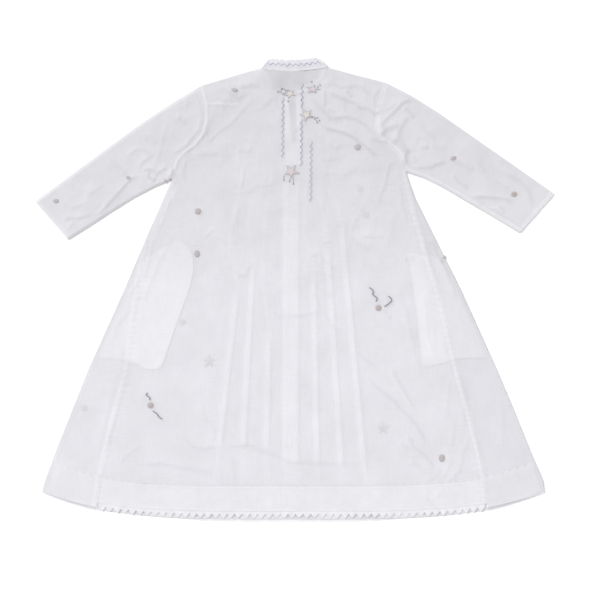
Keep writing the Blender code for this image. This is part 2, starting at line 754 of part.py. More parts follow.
def band_strip(line, leans, depth):
    """Stations along a seam line: the seam's points and the free edge's, with scallops.

    leans holds the band's directions at even steps along the line.
    """
    along = lengths_along(line)
    count = int(along[-1] / SCALLOP_PITCH * STATIONS_A_SCALLOP)
    even = np.linspace(0, along[-1], count)
    seam = np.stack([np.interp(even, along, line[:, i]) for i in (0, 1)], axis=1)
    steps = np.linspace(0, along[-1], len(leans))
    lift = np.stack([np.interp(even, steps, np.array(leans)[:, i]) for i in (0, 1)], axis=1)
    lift /= np.hypot(*lift.T)[:, None]
    free = seam + lift * (depth + scallop(even))[:, None]
    return seam + lift * SLANTED_SEAM_GAP, free


def add_turn(outer, inner, edge, side, radius):
    """The band's turn at one side of the neck, from one layer to the other."""
    for angle in COLLAR_TURN_ANGLES * -side:
        for rows, reach in ((outer, radius), (inner, radius - WALL)):
            x = edge[:, 0] - side * radius + side * reach * np.cos(angle)
            rows.append(place(x, edge[:, 1], radius + reach * np.sin(angle)))


def make_collar(dress, back_top, front_top, left_columns, material):
    """The stand collar: one band, its back half on top and its front halves under the back."""
    left, right = BACK_NECK[0].x + COLLAR_END_INSET, BACK_NECK[-1].x - COLLAR_END_INSET
    front_left, front_right = front_top[:left_columns], front_top[left_columns:]
    outer, inner = [], []

    def add(strip, outer_z, inner_z):
        for s, f in zip(*strip):
            outer.append(place([s[0], f[0]], [s[1], f[1]], outer_z))
            inner.append(place([s[0], f[0]], [s[1], f[1]], inner_z))

    high = BACK_LAYER_Z + WALL
    trim = COLLAR_TURN_STATIONS
    line = cut_line(front_left, left, front_left[-1, 0])[::-1]
    strip = band_strip(line, FRONT_LEFT_LEANS, COLLAR_DEPTH)
    add([part[:-trim] for part in strip], 0.0, WALL)
    strip = band_strip(cut_line(back_top, left, right), BACK_LEANS, BACK_COLLAR_DEPTH)
    add_turn(outer, inner, np.array([part[0] for part in strip]), -1, high / 2)
    add([part[trim:-trim] for part in strip], high, high - WALL)
    add_turn(outer, inner, np.array([part[-1] for part in strip]), 1, high / 2)
    line = cut_line(front_right, front_right[0, 0], right)
    strip = band_strip(line, FRONT_RIGHT_LEANS, COLLAR_DEPTH)
    add([part[::-1][trim:] for part in strip], 0.0, WALL)
    wall_between(dress, "collar_stand", np.array(outer), np.array(inner), material)


def make_placket(dress, material):
    """The strip that faces the front slit, open down the middle as far as the slit."""
    middle, top, low = sum(SLIT_EDGES) / 2, PLACKET_TOP_DOWN, PLACKET_END_DOWN
    left, right = middle - PLACKET_HALF_WIDTH, middle + PLACKET_HALF_WIDTH
    slit = np.linspace(SLIT_END_DOWN, top, 6)
    outline = [(left, top), (left, low), (right, low), (right, top)]
    outline += [(middle + slit_half_width(down), down) for down in slit[::-1]]
    outline += [(middle - slit_half_width(down), down) for down in slit]
    flat_piece(dress, "front_placket", outline, INNER_PIECE_Z, material)


def toothed_edge(x_from, x_to, line, depth):
    """A zigzag between two x: from the given line out to depth beyond it and back."""
    teeth = int(round((x_to - x_from) / TOOTH_PITCH))
    x = np.linspace(x_from, x_to, 2 * teeth + 1)
    out = (np.arange(len(x)) % 2) * depth
    return [(a, float(line(a)) + b) for a, b in zip(x, out)]


def make_back_facing(dress, material):
    """The facing inside the back hem, with a row of teeth that hang below the hem."""

    def hem(x):
        return hem_down(x, BACK_HEM_DOWN, BACK_HEM_LIFT)

    low, high = BACK_FACING_LOW_DOWN, BACK_FACING_TOP_DOWN
    left = x_at(BACK_LEFT_SEAM, low) + BACK_FACING_INSET
    right = x_at(BACK_RIGHT_SEAM, low) - BACK_FACING_INSET
    left_top = x_at(BACK_LEFT_SEAM, high) + BACK_FACING_INSET
    right_top = x_at(BACK_RIGHT_SEAM, high) - BACK_FACING_INSET
    teeth = toothed_edge(left, right, lambda x: hem(x) + TOOTH_BAND, TOOTH_DEPTH)
    top_x = np.linspace(right_top, left_top, FACING_STATIONS)
    top = [(x, float(hem(x)) - BACK_FACING_DEPTH) for x in top_x]
    flat_piece(dress, "back_hem_facing", teeth + top, BACK_FACING_Z, material)


def make_front_facing(dress, material):
    """The facing inside the front and gore hem, its upper edge cut in a zigzag."""

    def hem(x):
        return hem_down(x, FRONT_HEM_DOWN, FRONT_HEM_LIFT)

    low, high = FRONT_FACING_LOW_DOWN, FRONT_FACING_TOP_DOWN
    left = x_at(LEFT_SIDE, low) + FRONT_FACING_INSET
    right = x_at(RIGHT_SIDE, low) - FRONT_FACING_INSET
    left_top = x_at(LEFT_SIDE, high) + FRONT_FACING_INSET
    right_top = x_at(RIGHT_SIDE, high) - FRONT_FACING_INSET
    zigzag = toothed_edge(
        left_top, right_top, lambda x: hem(x) - FRONT_FACING_DEPTH, -ZIGZAG_DEPTH
    )
    low_x = np.linspace(right, left, 2 * FACING_STATIONS)
    lower = [(x, float(hem(x)) - FRONT_FACING_CLEAR) for x in low_x]
    flat_piece(dress, "front_hem_facing", zigzag + lower, INNER_PIECE_Z, material)


def build():
    """Makes every piece of the dress."""
    dress = start_scene()
    voile = cloth("white_voile", (0.80, 0.80, 0.84), 0.9)
    facing = cloth("white_facing", (0.86, 0.86, 0.90), 0.9)
    collar = cloth("white_collar", (0.86, 0.87, 0.92), 0.85)
    back_top = make_back_panel(dress, voile)
    front_top, left_columns = make_front_panel(dress, voile)
    left_row = ARMHOLE_ROWS + UPPER_SIDE_ROWS - 1
    make_gore(dress, "gore_left", LEFT_SIDE, BACK_LEFT_SEAM, FRONT_LEFT_SEAM, left_row, voile)
    make_gore(
        dress, "gore_right", RIGHT_SIDE, BACK_RIGHT_SEAM, FRONT_RIGHT_SEAM, ARMHOLE_ROWS, voile
    )
    make_sleeve(dress, "sleeve_left", LEFT_ARMHOLE, LEFT_CUFF, LEFT_SLEEVE_BOW, voile)
    make_sleeve(dress, "sleeve_right", RIGHT_ARMHOLE, RIGHT_CUFF, RIGHT_SLEEVE_BOW, voile)
    make_collar(dress, back_top, front_top, left_columns, collar)
    make_placket(dress, facing)
    flat_piece(dress, "pocket_bag_left", LEFT_POCKET, INNER_PIECE_Z, facing)
    flat_piece(dress, "pocket_bag_right", RIGHT_POCKET, INNER_PIECE_Z, facing)
    make_back_facing(dress, facing)
    make_front_facing(dress, facing)


build()
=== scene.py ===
"""Embroidered cotton voile dress, laid flat on a pale table with its back up.

Metres, +Z up, collar towards +Y. A place on the dress is given by x, the distance to
the right of the middle line, and down, the distance below the top of the collar.
"""
from collections import namedtuple

import bpy
import numpy as np
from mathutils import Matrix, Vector


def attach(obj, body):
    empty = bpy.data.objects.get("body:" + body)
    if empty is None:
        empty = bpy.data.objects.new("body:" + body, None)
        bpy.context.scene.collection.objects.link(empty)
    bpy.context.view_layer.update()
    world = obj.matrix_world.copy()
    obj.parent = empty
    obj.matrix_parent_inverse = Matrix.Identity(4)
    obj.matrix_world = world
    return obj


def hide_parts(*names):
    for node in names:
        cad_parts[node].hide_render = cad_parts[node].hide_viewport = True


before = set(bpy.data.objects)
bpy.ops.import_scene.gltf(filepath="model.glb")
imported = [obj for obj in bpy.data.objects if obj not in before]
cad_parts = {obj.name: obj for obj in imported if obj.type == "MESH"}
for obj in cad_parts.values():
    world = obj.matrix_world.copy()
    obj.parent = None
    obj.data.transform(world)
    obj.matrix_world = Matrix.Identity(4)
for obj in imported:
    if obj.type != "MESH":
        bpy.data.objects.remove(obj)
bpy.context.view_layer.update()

# ---------------------------------------------------------------------------
# The table: a board painted matt white, with one broad soft lamp to the upper
# left and pale walls all round. The camera hangs straight above the dress.

TABLE_SIZE = 30.0
LAMP_STRENGTH = 2.7
LAMP_WIDTH_ANGLE = 0.75
LAMP_TOWARDS = (0.62, -0.55, -0.66)
ROOM_STRENGTH = 0.74
CAMERA_LENS_MM = 85.0
CAMERA_SENSOR_MM = 36.0
CAMERA_OVER = (0.009, -0.0205)
FRAME_WIDTH = 1.2
DRESS_MIDDLE_Z = 0.003


def linear(hex_colour):
    """An sRGB hex colour as linear red, green, blue and a full alpha."""
    values = np.array([int(hex_colour[i : i + 2], 16) for i in (0, 2, 4)]) / 255
    curve = np.where(values <= 0.04045, values / 12.92, ((values + 0.055) / 1.055) ** 2.4)
    return (*curve.tolist(), 1.0)


def add_node(tree, kind, inputs=None, **settings):
    """A node with its settings, each input set to a value or linked to a socket."""
    node = tree.nodes.new("ShaderNode" + kind)
    for name, value in settings.items():
        setattr(node, name, value)
    for name, value in (inputs or {}).items():
        if isinstance(value, bpy.types.NodeSocket):
            tree.links.new(value, node.inputs[name])
        else:
            node.inputs[name].default_value = value
    return node


def start_material(name):
    """A new material with its node tree and its shader."""
    material = bpy.data.materials.new(name)
    material.use_nodes = True
    return material, material.node_tree, material.node_tree.nodes["Principled BSDF"]


def finish_shader(tree, shader, colour, relief, numbers):
    """The shader takes its colour and its relief from two sockets, and its other numbers."""
    tree.links.new(colour, shader.inputs["Base Color"])
    tree.links.new(relief.outputs["Normal"], shader.inputs["Normal"])
    for name, value in numbers.items():
        shader.inputs[name].default_value = value


def grid_cells(number):
    """Corner numbers of each cell between the neighbouring rows and columns of a grid."""
    corners = [number[:, :-1, :-1], number[:, 1:, :-1], number[:, 1:, 1:], number[:, :-1, 1:]]
    return np.stack(corners, axis=-1)


def lengths_along(line):
    """The distance of each point from the first, summed along the line."""
    steps = np.linalg.norm(np.diff(line, axis=-2), axis=-1)
    return np.concatenate([np.zeros(steps.shape[:-1] + (1,)), np.cumsum(steps, axis=-1)], axis=-1)


def cloth_coordinates(stack, closed):
    """UV in metres: x and y on a flat piece, along and round on a tube."""
    if not closed:
        return stack[..., :2]
    along = lengths_along(stack.mean(axis=2))
    ring = np.concatenate([stack, stack[:, :, :1]], axis=2)
    turned = lengths_along(ring).mean(axis=1)
    return np.stack(np.broadcast_arrays(along[:, :, None], turned[:, None, :]), axis=-1)


def make_piece(name, stacks, material, closed=False, capped=False, left_out=None, **marks):
    """One object from stacks of grids of points, each (grids, rows, columns, 3).

    Each cell of a grid is a face. closed joins the last column to the first, capped
    closes both ends of such a tube, and left_out is true for cells where the cloth is
    cut away. marks are numbers kept at each point, which the material reads.
    """
    points, faces, uvs, passed = [], [], [], 0
    for stack in stacks:
        stack = stack.reshape(-1, *stack.shape[-3:])
        count, rows, columns = stack.shape[:3]
        number = passed + np.arange(count * rows * columns).reshape(count, rows, columns)
        uv = cloth_coordinates(stack, closed)
        own = np.arange(count * rows * (columns + closed)).reshape(count, rows, -1)
        if closed:
            number = np.concatenate([number, number[:, :, :1]], axis=2)
        cells, uv_cells = grid_cells(number), grid_cells(own)
        if left_out is not None:
            cells, uv_cells = cells[:, ~left_out], uv_cells[:, ~left_out]
        faces += cells.reshape(-1, 4).tolist()
        uvs.append(uv.reshape(-1, 2)[uv_cells.reshape(-1)])
        if capped:
            caps = np.concatenate([number[:, 0, :-1], number[:, -1, -2::-1]])
            faces += caps.tolist()
            uvs.append(np.zeros((caps.size, 2)))
        points.append(stack.reshape(-1, 3))
        passed += count * rows * columns
    mesh = bpy.data.meshes.new(name)
    mesh.from_pydata(np.concatenate(points).tolist(), [], faces)
    mesh.uv_layers.new(name="cloth").data.foreach_set("uv", np.concatenate(uvs).ravel())
    for mark, values in marks.items():
        kept = mesh.attributes.new(mark, "FLOAT", "POINT")
        kept.data.foreach_set("value", np.asarray(values, np.float32).ravel())
    mesh.polygons.foreach_set("use_smooth", np.ones(len(mesh.polygons), bool))
    mesh.materials.append(material)
    mesh.validate()
    piece = bpy.data.objects.new(name, mesh)
    bpy.context.scene.collection.objects.link(piece)
    return piece


def matt_white_paint():
    """Roller-painted board: almost even white, with a faint broad mottle and orange peel."""
    material, tree, shader = start_material("matt_white_paint")
    place = add_node(tree, "TexCoord").outputs["Object"]
    mottle = add_node(tree, "TexNoise", {"Vector": place, "Scale": 2.0, "Detail": 3.0})
    colour = add_node(
        tree, "Mix",
        {0: mottle.outputs["Fac"], 6: linear("F1F1F1"), 7: linear("F3F3F3")},
        data_type="RGBA",
    )
    peel = add_node(tree, "TexNoise", {"Vector": place, "Scale": 900.0})
    bump = add_node(
        tree, "Bump", {"Height": peel.outputs["Fac"], "Strength": 0.05, "Distance": 0.0002}
    )
    finish_shader(
        tree, shader, colour.outputs[2], bump, {"Roughness": 0.9, "Specular IOR Level": 0.2}
    )
    return material


reach = np.array([-TABLE_SIZE / 2, TABLE_SIZE / 2])
board_x, board_y = np.meshgrid(reach, -reach)
table = make_piece(
    "table", [np.stack([board_x, board_y, 0 * board_x], axis=-1)], matt_white_paint()
)

lamp = bpy.data.objects.new("broad_soft_lamp", bpy.data.lights.new("broad_soft_lamp", "SUN"))
lamp.data.energy = LAMP_STRENGTH
lamp.data.angle = LAMP_WIDTH_ANGLE
lamp.rotation_euler = Vector(LAMP_TOWARDS).to_track_quat("-Z", "Y").to_euler()
bpy.context.scene.collection.objects.link(lamp)

room = bpy.data.worlds.new("pale_room")
room.use_nodes = True
walls = room.node_tree.nodes["Background"]
walls.inputs["Color"].default_value = linear("FFFFFF")
walls.inputs["Strength"].default_value = ROOM_STRENGTH
bpy.context.scene.world = room
bpy.context.scene.view_settings.view_transform = "Standard"

camera = bpy.data.objects.new("camera", bpy.data.cameras.new("camera"))
camera.data.lens = CAMERA_LENS_MM
camera.data.sensor_width = CAMERA_SENSOR_MM
camera_height = DRESS_MIDDLE_Z + FRAME_WIDTH * CAMERA_LENS_MM / CAMERA_SENSOR_MM
camera.location = (*CAMERA_OVER, camera_height)
bpy.context.scene.collection.objects.link(camera)
bpy.context.scene.camera = camera

# ---------------------------------------------------------------------------
# The front: one panel of white cotton voile, a thin plain weave, which lies under
# the back. Six narrow pleats and a box pleat are pressed and stitched down on it,
# and below the neck it is slit for the opening.

MM = 0.001
LENGTH = 928 * MM
LEFT_ARMHOLE = [
    (-187, 55), (-178, 90), (-177, 125), (-184, 150), (-200, 172), (-224, 190),
    (-237, 206), (-243, 226), (-247, 244.5),
]
RIGHT_ARMHOLE = [
    (181, 50), (174, 80), (166, 108), (164, 138), (172, 163), (196, 178),
    (210, 193), (217, 211), (221.5, 229),
]
LEFT_SIDE = [
    (-247, 244.5), (-258, 267), (-285, 329), (-309, 385), (-343, 465), (-379, 545),
    (-415, 625), (-447, 705), (-479, 785), (-501, 845), (-509, 875),
]
FRONT_LEFT_SEAM = [
    (-247, 244.5), (-257.5, 267), (-284.5, 329), (-298.5, 372), (-314, 441), (-326, 510),
    (-345, 605), (-362, 690), (-380, 775), (-393, 845), (-402, 925),
]
FRONT_RIGHT_SEAM = [
    (219.5, 229), (244, 325), (266, 405), (290, 485), (312, 565), (334, 645),
    (356, 733), (370, 789), (380, 845), (388, 925),
]
LEFT_SHOULDER = [(-187, 55), (-151, 45), (-111, 35), (-67, 21)]
RIGHT_SHOULDER = [(65, 18), (109, 31), (149, 41), (181, 50)]
FRONT_NECK_LEFT = [(-67, 21), (-58, 42), (-38, 62), (-11, 72.5)]
FRONT_NECK_RIGHT = [(1, 72.5), (28, 63), (51, 43), (65, 18)]
HEM_MIDDLE_X, HEM_HALF_WIDTH = -5 * MM, 504 * MM
FRONT_HEM_DOWN, FRONT_HEM_LIFT = 928 * MM, 59 * MM
LEFT_GORE_TOP = 385 * MM
ARMHOLE_ROWS, BODY_ROWS = 62, 262
GAP_COLUMNS, SIDE_COLUMNS, SLIT_COLUMNS = 5, 22, 2
FRONT_Z = 0.6 * MM
PLEAT_EDGE, PLEAT_RISE = 0.7 * MM, 0.55 * MM
PLEAT_START, PLEAT_END, PLEAT_BEND = 20 * MM, 14 * MM, 100
STREAK_FROM, STREAK_TO = 90 * MM, 220 * MM
SLIT_TOP, SLIT_END, SLIT_NARROWS = 72.5 * MM, 171 * MM, 110 * MM
SLIT_LEFT, SLIT_RIGHT, SLIT_OPENS, SLIT_EASES = -11 * MM, 1 * MM, 8 * MM, 50 * MM
Pleat = namedtuple("Pleat", "x_top down_top x_low down_low width")
PLEATS = [
    Pleat(-117, 469, -153, 775, 11),
    Pleat(-85, 413, -105, 769, 11),
    Pleat(-53, 555, -58, 773, 11),
    Pleat(-7.5, 240, -9.5, 805, 33),
    Pleat(36, 437, 43, 805, 11),
    Pleat(64, 373, 91, 805, 11),
    Pleat(92, 337, 138, 820, 11),
]
BOX_PLEAT, BOX_INNER = 3, 4 * MM
PLEAT_PLIES, HEM_PLIES, STREAK = 0.43, 0.45, 0.42
BAND_SCALE = 0.314  # a wave texture of this scale has one band every metre
FRONT_HEM_TURN, HEM_TURN_SOFT = 919 * MM, 4 * MM


def smooth_step(value, low, high):
    """0 below low, 1 above high, and an even S between them."""
    t = np.clip((np.asarray(value, float) - low) / (high - low), 0, 1)
    return t * t * (3 - 2 * t)


def smooth_line(line, shares):
    """Points at shares of the length of a smooth curve through the line's points, in mm.

    Between two points the curve is the cubic whose slope at each is half the step
    from the point before it to the point after it.
    """
    line = np.asarray(line, float) * MM
    knots = np.vstack([2 * line[0] - line[1], line, 2 * line[-1] - line[-2]])
    a, b, c, d = (knots[i : len(knots) - 3 + i, None] for i in range(4))
    t = np.linspace(0, 1, 16, endpoint=False)[None, :, None]
    dense = 0.5 * (
        2 * b + (c - a) * t + (2 * a - 5 * b + 4 * c - d) * t**2 + (3 * b - a - 3 * c + d) * t**3
    )
    dense = np.vstack([dense.reshape(-1, 2), line[-1:]])
    along = lengths_along(dense)
    wanted = np.asarray(shares) * along[-1]
    return np.stack([np.interp(wanted, along, column) for column in dense.T], axis=-1)


def edge_x(edge, down):
    """x of a seam or side edge, given in mm, at a distance down."""
    table = np.array(edge, float) * MM
    return np.interp(down, table[:, 1], table[:, 0])


def hem_down(x, lowest, lift):
    """The hem's curve: lowest in the middle and lifted by the fourth power of the way out."""
    return lowest - lift * (np.abs(np.asarray(x) - HEM_MIDDLE_X) / HEM_HALF_WIDTH) ** 4


def at(x, down, z):
    """Points with y worked out from the distance down."""
    x, down, z = np.broadcast_arrays(np.asarray(x, float), down, z)
    return np.stack([x, LENGTH / 2 - down, z], axis=-1)


def patch(top, bottom, left, right, shares):
    """Points inside four edges: the two blends across and along, less the one of the corners."""
    v = np.linspace(0, 1, len(left))[:, None, None]
    u = np.asarray(shares)[None, :, None]
    across = (1 - v) * top[None] + v * bottom[None]
    along = (1 - u) * left[:, None] + u * right[:, None]
    corners = (
        (1 - u) * (1 - v) * top[0] + u * (1 - v) * top[-1]
        + (1 - u) * v * bottom[0] + u * v * bottom[-1]
    )
    return across + along - corners


def panel_side(armhole, seam, lowest, lift):
    """A panel's side: down the armhole, then down the seam to the hem."""
    upper = smooth_line(armhole, np.linspace(0, 1, ARMHOLE_ROWS))
    hem = float(hem_down(seam[-1][0] * MM, lowest, lift))
    downs = np.linspace(upper[-1, 1], hem, BODY_ROWS + 1)[1:]
    return np.vstack([upper, np.stack([edge_x(seam, downs), downs], axis=1)])


def pleat_x(pleat, down):
    """x of a pleat's middle line at a distance down, straight on past its ends."""
    slope = (pleat.x_low - pleat.x_top) / (pleat.down_low - pleat.down_top)
    return (pleat.x_top + slope * (down / MM - pleat.down_top)) * MM


def slit_half_width(down):
    """Half the slit's opening: even at first, then closing to almost nothing at its end."""
    return (SLIT_RIGHT - SLIT_LEFT) / 2 * (1 - 0.9 * smooth_step(down, SLIT_NARROWS, SLIT_END))


def plain_weave(tree, cloth, pitch, wander, strength, distance):
    """Relief of a plain weave: yarns a pitch apart both ways, the higher one on top."""
    yarns = [
        add_node(
            tree, "TexWave",
            {"Vector": cloth, "Scale": BAND_SCALE / pitch, "Distortion": wander},
            bands_direction=direction,
        ).outputs["Fac"]
        for direction in ("X", "Y")
    ]
    weave = add_node(tree, "Math", {0: yarns[0], 1: yarns[1]}, operation="MAXIMUM").outputs[0]
    return add_node(tree, "Bump", {"Height": weave, "Strength": strength, "Distance": distance})


def voile(name, thin, thick, shade_colour):
    """Cotton voile: combed yarns in an open plain weave, bleached and washed soft.

    It is matt and slightly see-through. One mark says how much cloth lies together, from
    thin to thick, less where the shade of a crease is painted in, cover how much of what
    lies below is hidden, and a third how far the cloth is painted darker, towards the
    shade colour, where only one layer shows: painted shade of the open neck and of a
    folded edge. Its tone changes with the slubs, with a faint cloud from the wash, a little
    darker towards the shoulders, and darker towards the right as painted falloff of the
    lamp's light from the left. The yarns stand 0.35 mm apart and are drawn at 1.4 mm, and
    the slubs, the thick places of a yarn, are drawn 2 mm wide.
    """
    material, tree, shader = start_material(name)
    cloth = add_node(tree, "UVMap", uv_map="cloth").outputs["UV"]
    plies, cover, aged = (
        add_node(tree, "Attribute", attribute_name=mark).outputs["Fac"]
        for mark in ("plies", "cover", "aged")
    )
    colour = add_node(
        tree, "Mix", {0: plies, 6: linear(thin), 7: linear(thick)}, data_type="RGBA"
    ).outputs[2]
    colour = add_node(
        tree, "Mix", {0: aged, 6: colour, 7: linear(shade_colour)}, data_type="RGBA"
    ).outputs[2]
    place = add_node(tree, "TexCoord").outputs["Object"]
    heights = []
    for scale in ((500.0, 28.0, 1.0), (28.0, 500.0, 1.0)):
        stretched = add_node(tree, "Mapping", {"Vector": cloth, "Scale": scale})
        slub = add_node(
            tree, "TexNoise", {"Vector": stretched.outputs["Vector"], "Scale": 1.0, "Detail": 2.0}
        )
        heights.append(slub.outputs["Fac"])
    slubs = add_node(tree, "Math", {0: heights[0], 1: heights[1]}, operation="ADD").outputs[0]
    washed = add_node(tree, "TexNoise", {"Vector": place, "Scale": 14.0, "Detail": 3.0})
    places = add_node(tree, "SeparateXYZ", {"Vector": place}).outputs
    for value, low, high, tone_low, tone_high, way in (
        (slubs, 0.7, 1.3, 0.965, 1.02, "LINEAR"),
        (washed.outputs["Fac"], 0.3, 0.7, 0.974, 1.016, "LINEAR"),
        (places["Y"], -0.10, 0.33, 1.020, 0.950, "SMOOTHSTEP"),
        # darker towards the right: painted falloff of the lamp's light from the left
        (places["X"], -0.45, 0.45, 1.010, 0.998, "LINEAR"),
    ):
        tone = add_node(
            tree, "MapRange",
            {"Value": value, "From Min": low, "From Max": high, "To Min": tone_low,
             "To Max": tone_high},
            interpolation_type=way,
        )
        colour = add_node(
            tree, "VectorMath", {0: colour, 1: tone.outputs[0]}, operation="MULTIPLY"
        ).outputs["Vector"]
    fine = plain_weave(tree, cloth, 1.4 * MM, 0.6, 0.25, 0.06 * MM)
    bump = add_node(
        tree, "Bump",
        {"Height": slubs, "Strength": 0.35, "Distance": 0.12 * MM,
         "Normal": fine.outputs["Normal"]},
    )
    tree.links.new(cover, shader.inputs["Alpha"])
    finish_shader(
        tree, shader, colour, bump,
        {"Roughness": 0.88, "IOR": 1.46, "Specular IOR Level": 0.25, "Sheen Weight": 0.12,
         "Sheen Roughness": 0.5},
    )
    return material


# C3C2C6 is the painted shade colour of the open neck and of the folded edge
body_voile = voile("white_cotton_voile", thin="CFCED3", thick="E9E8EC", shade_colour="C3C2C6")

# Lines down the panel: its sides, and the edges and crests of each pleat
left = panel_side(LEFT_ARMHOLE, FRONT_LEFT_SEAM, FRONT_HEM_DOWN, FRONT_HEM_LIFT)
right = panel_side(RIGHT_ARMHOLE, FRONT_RIGHT_SEAM, FRONT_HEM_DOWN, FRONT_HEM_LIFT)
offsets, pleat_of, raised = [], [], []
for index, pleat in enumerate(PLEATS):
    half = pleat.width * MM / 2
    crest = half - PLEAT_EDGE
    inner = [-BOX_INNER, BOX_INNER] if index == BOX_PLEAT else []
    across = [-half, -crest, *inner, crest, half]
    offsets += across
    pleat_of += [index] * len(across)
    raised += [0] + [1] * (len(across) - 2) + [0]
slit_at = pleat_of.index(BOX_PLEAT) + 2
left_keys = slit_at + 2
key_count = len(offsets) + 2
low_x = np.array([pleat_x(PLEATS[p], FRONT_HEM_DOWN) + o for p, o in zip(pleat_of, offsets)])
hem_x = np.concatenate([left[-1:, 0], low_x, right[-1:, 0]])
shares = (hem_x - hem_x[0]) / (hem_x[-1] - hem_x[0])
top = np.vstack([
    smooth_line(LEFT_SHOULDER[:-1] + FRONT_NECK_LEFT, shares[:left_keys] / shares[left_keys - 1]),
    smooth_line(
        FRONT_NECK_RIGHT + RIGHT_SHOULDER[1:],
        (shares[left_keys:] - shares[left_keys]) / (1 - shares[left_keys]),
    ),
])
bottom = np.stack([hem_x, hem_down(hem_x, FRONT_HEM_DOWN, FRONT_HEM_LIFT)], axis=1)
# Each line bends from the even spread at the neck to its pleat or to the slit's edge
keys = patch(top, bottom, left, right, shares)
pressed, streak = np.zeros(keys.shape[:2]), np.zeros(keys.shape[:2])
for column, (index, offset, up) in enumerate(zip(pleat_of, offsets, raised), start=1):
    pleat, down = PLEATS[index], keys[:, column, 1]
    line_x = pleat_x(pleat, down) + offset
    reached = smooth_step(down, (pleat.down_top - PLEAT_BEND) * MM, pleat.down_top * MM)
    if column - 1 in (slit_at, slit_at + 1):
        side = -1 if column - 1 == slit_at else 1
        cut = (SLIT_LEFT + SLIT_RIGHT) / 2 + side * slit_half_width(down)
        line_x = cut + (line_x - cut) * smooth_step(down, SLIT_END, SLIT_END + SLIT_EASES)
        reached = smooth_step(down, SLIT_TOP, SLIT_TOP + SLIT_OPENS)
    keys[:, column, 0] += reached * (line_x - keys[:, column, 0])
    start, end = pleat.down_top * MM, pleat.down_low * MM
    pressed[:, column] = up * smooth_step(down, start, start + PLEAT_START)
    pressed[:, column] *= 1 - smooth_step(down, end, end + PLEAT_END)
    streak[:, column] = up * STREAK * smooth_step(down, STREAK_FROM, STREAK_TO)
# Columns between the lines: many beside the seams, one on the steep edge of a pleat
spread, levels = [0.0], [0, *raised, 0]
for column in range(1, key_count):
    count = 1 if levels[column] != levels[column - 1] else GAP_COLUMNS
    if column in (1, key_count - 1):
        count = SIDE_COLUMNS
    if slit_at < column < slit_at + 4:
        count = SLIT_COLUMNS
    spread += [column - 1 + (i + 1) / count for i in range(count)]
spread = np.array(spread)
before = np.minimum(spread.astype(int), key_count - 2)
mix = (spread - before)[None, :, None]
grid = keys[:, before] * (1 - mix) + keys[:, before + 1] * mix
pressed, streak = (
    mark[:, before] * (1 - mix[..., 0]) + mark[:, before + 1] * mix[..., 0]
    for mark in (pressed, streak)
)
x, down = grid[..., 0], grid[..., 1]
in_slit = (spread[:-1] >= slit_at + 1) & (spread[1:] <= slit_at + 2 + 1e-9)
left_out = in_slit[None, :] & (down[:-1, :-1] < SLIT_END)
in_hem = down - hem_down(x, 0, FRONT_HEM_LIFT)
turned = smooth_step(in_hem, FRONT_HEM_TURN, FRONT_HEM_TURN + HEM_TURN_SOFT)
front = make_piece(
    "front_of_voile",
    [at(x, down, FRONT_Z + PLEAT_RISE * pressed)[:, ::-1]],
    body_voile,
    left_out=left_out[:, ::-1],
    plies=(PLEAT_PLIES * np.maximum(pressed, streak) + HEM_PLIES * turned)[:, ::-1],
    cover=np.ones(x.shape),
)
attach(front, "root")
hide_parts("front_panel")

# ---------------------------------------------------------------------------
# Inside the front: a strip of the same white cotton faces the slit, and a pocket
# bag hangs from each side seam. They are cut from a closer lawn, lie flat between
# the two layers, and show through the back as paler shapes.

INNER_Z = 1.75 * MM
PLACKET_X, PLACKET_HALF_WIDTH = -5 * MM, 17 * MM
PLACKET_TOP, PLACKET_END, PLACKET_Z = 77.5 * MM, 215 * MM, INNER_Z - 0.1 * MM
PLACKET_ROWS, PLACKET_HALF_COLUMNS = 70, 7
LEFT_POCKET = [
    (-236, 362), (-211, 384), (-204, 415), (-210, 452), (-224, 494), (-243, 546),
    (-258, 590), (-266, 613), (-277, 622), (-298, 622), (-330, 607), (-398, 600),
]
LEFT_POCKET_SEAM = [(-236, 362), (-280, 388), (-312, 410), (-330, 450), (-398, 600)]
RIGHT_POCKET = [
    (222, 392), (232, 440), (243, 520), (251, 590), (256, 616), (282, 614),
    (330, 602), (385, 600),
]
RIGHT_POCKET_SEAM = [(222, 392), (250, 392), (300, 420), (385, 600)]
POCKET_ROWS, POCKET_COLUMNS = 70, 60
POCKET_RIPPLE, DOUBLE_CLEAR, DOUBLE_SOFT = 0.15 * MM, (2 * MM, 6 * MM), 4 * MM
DOUBLE_BELOW = (400 * MM, 460 * MM)


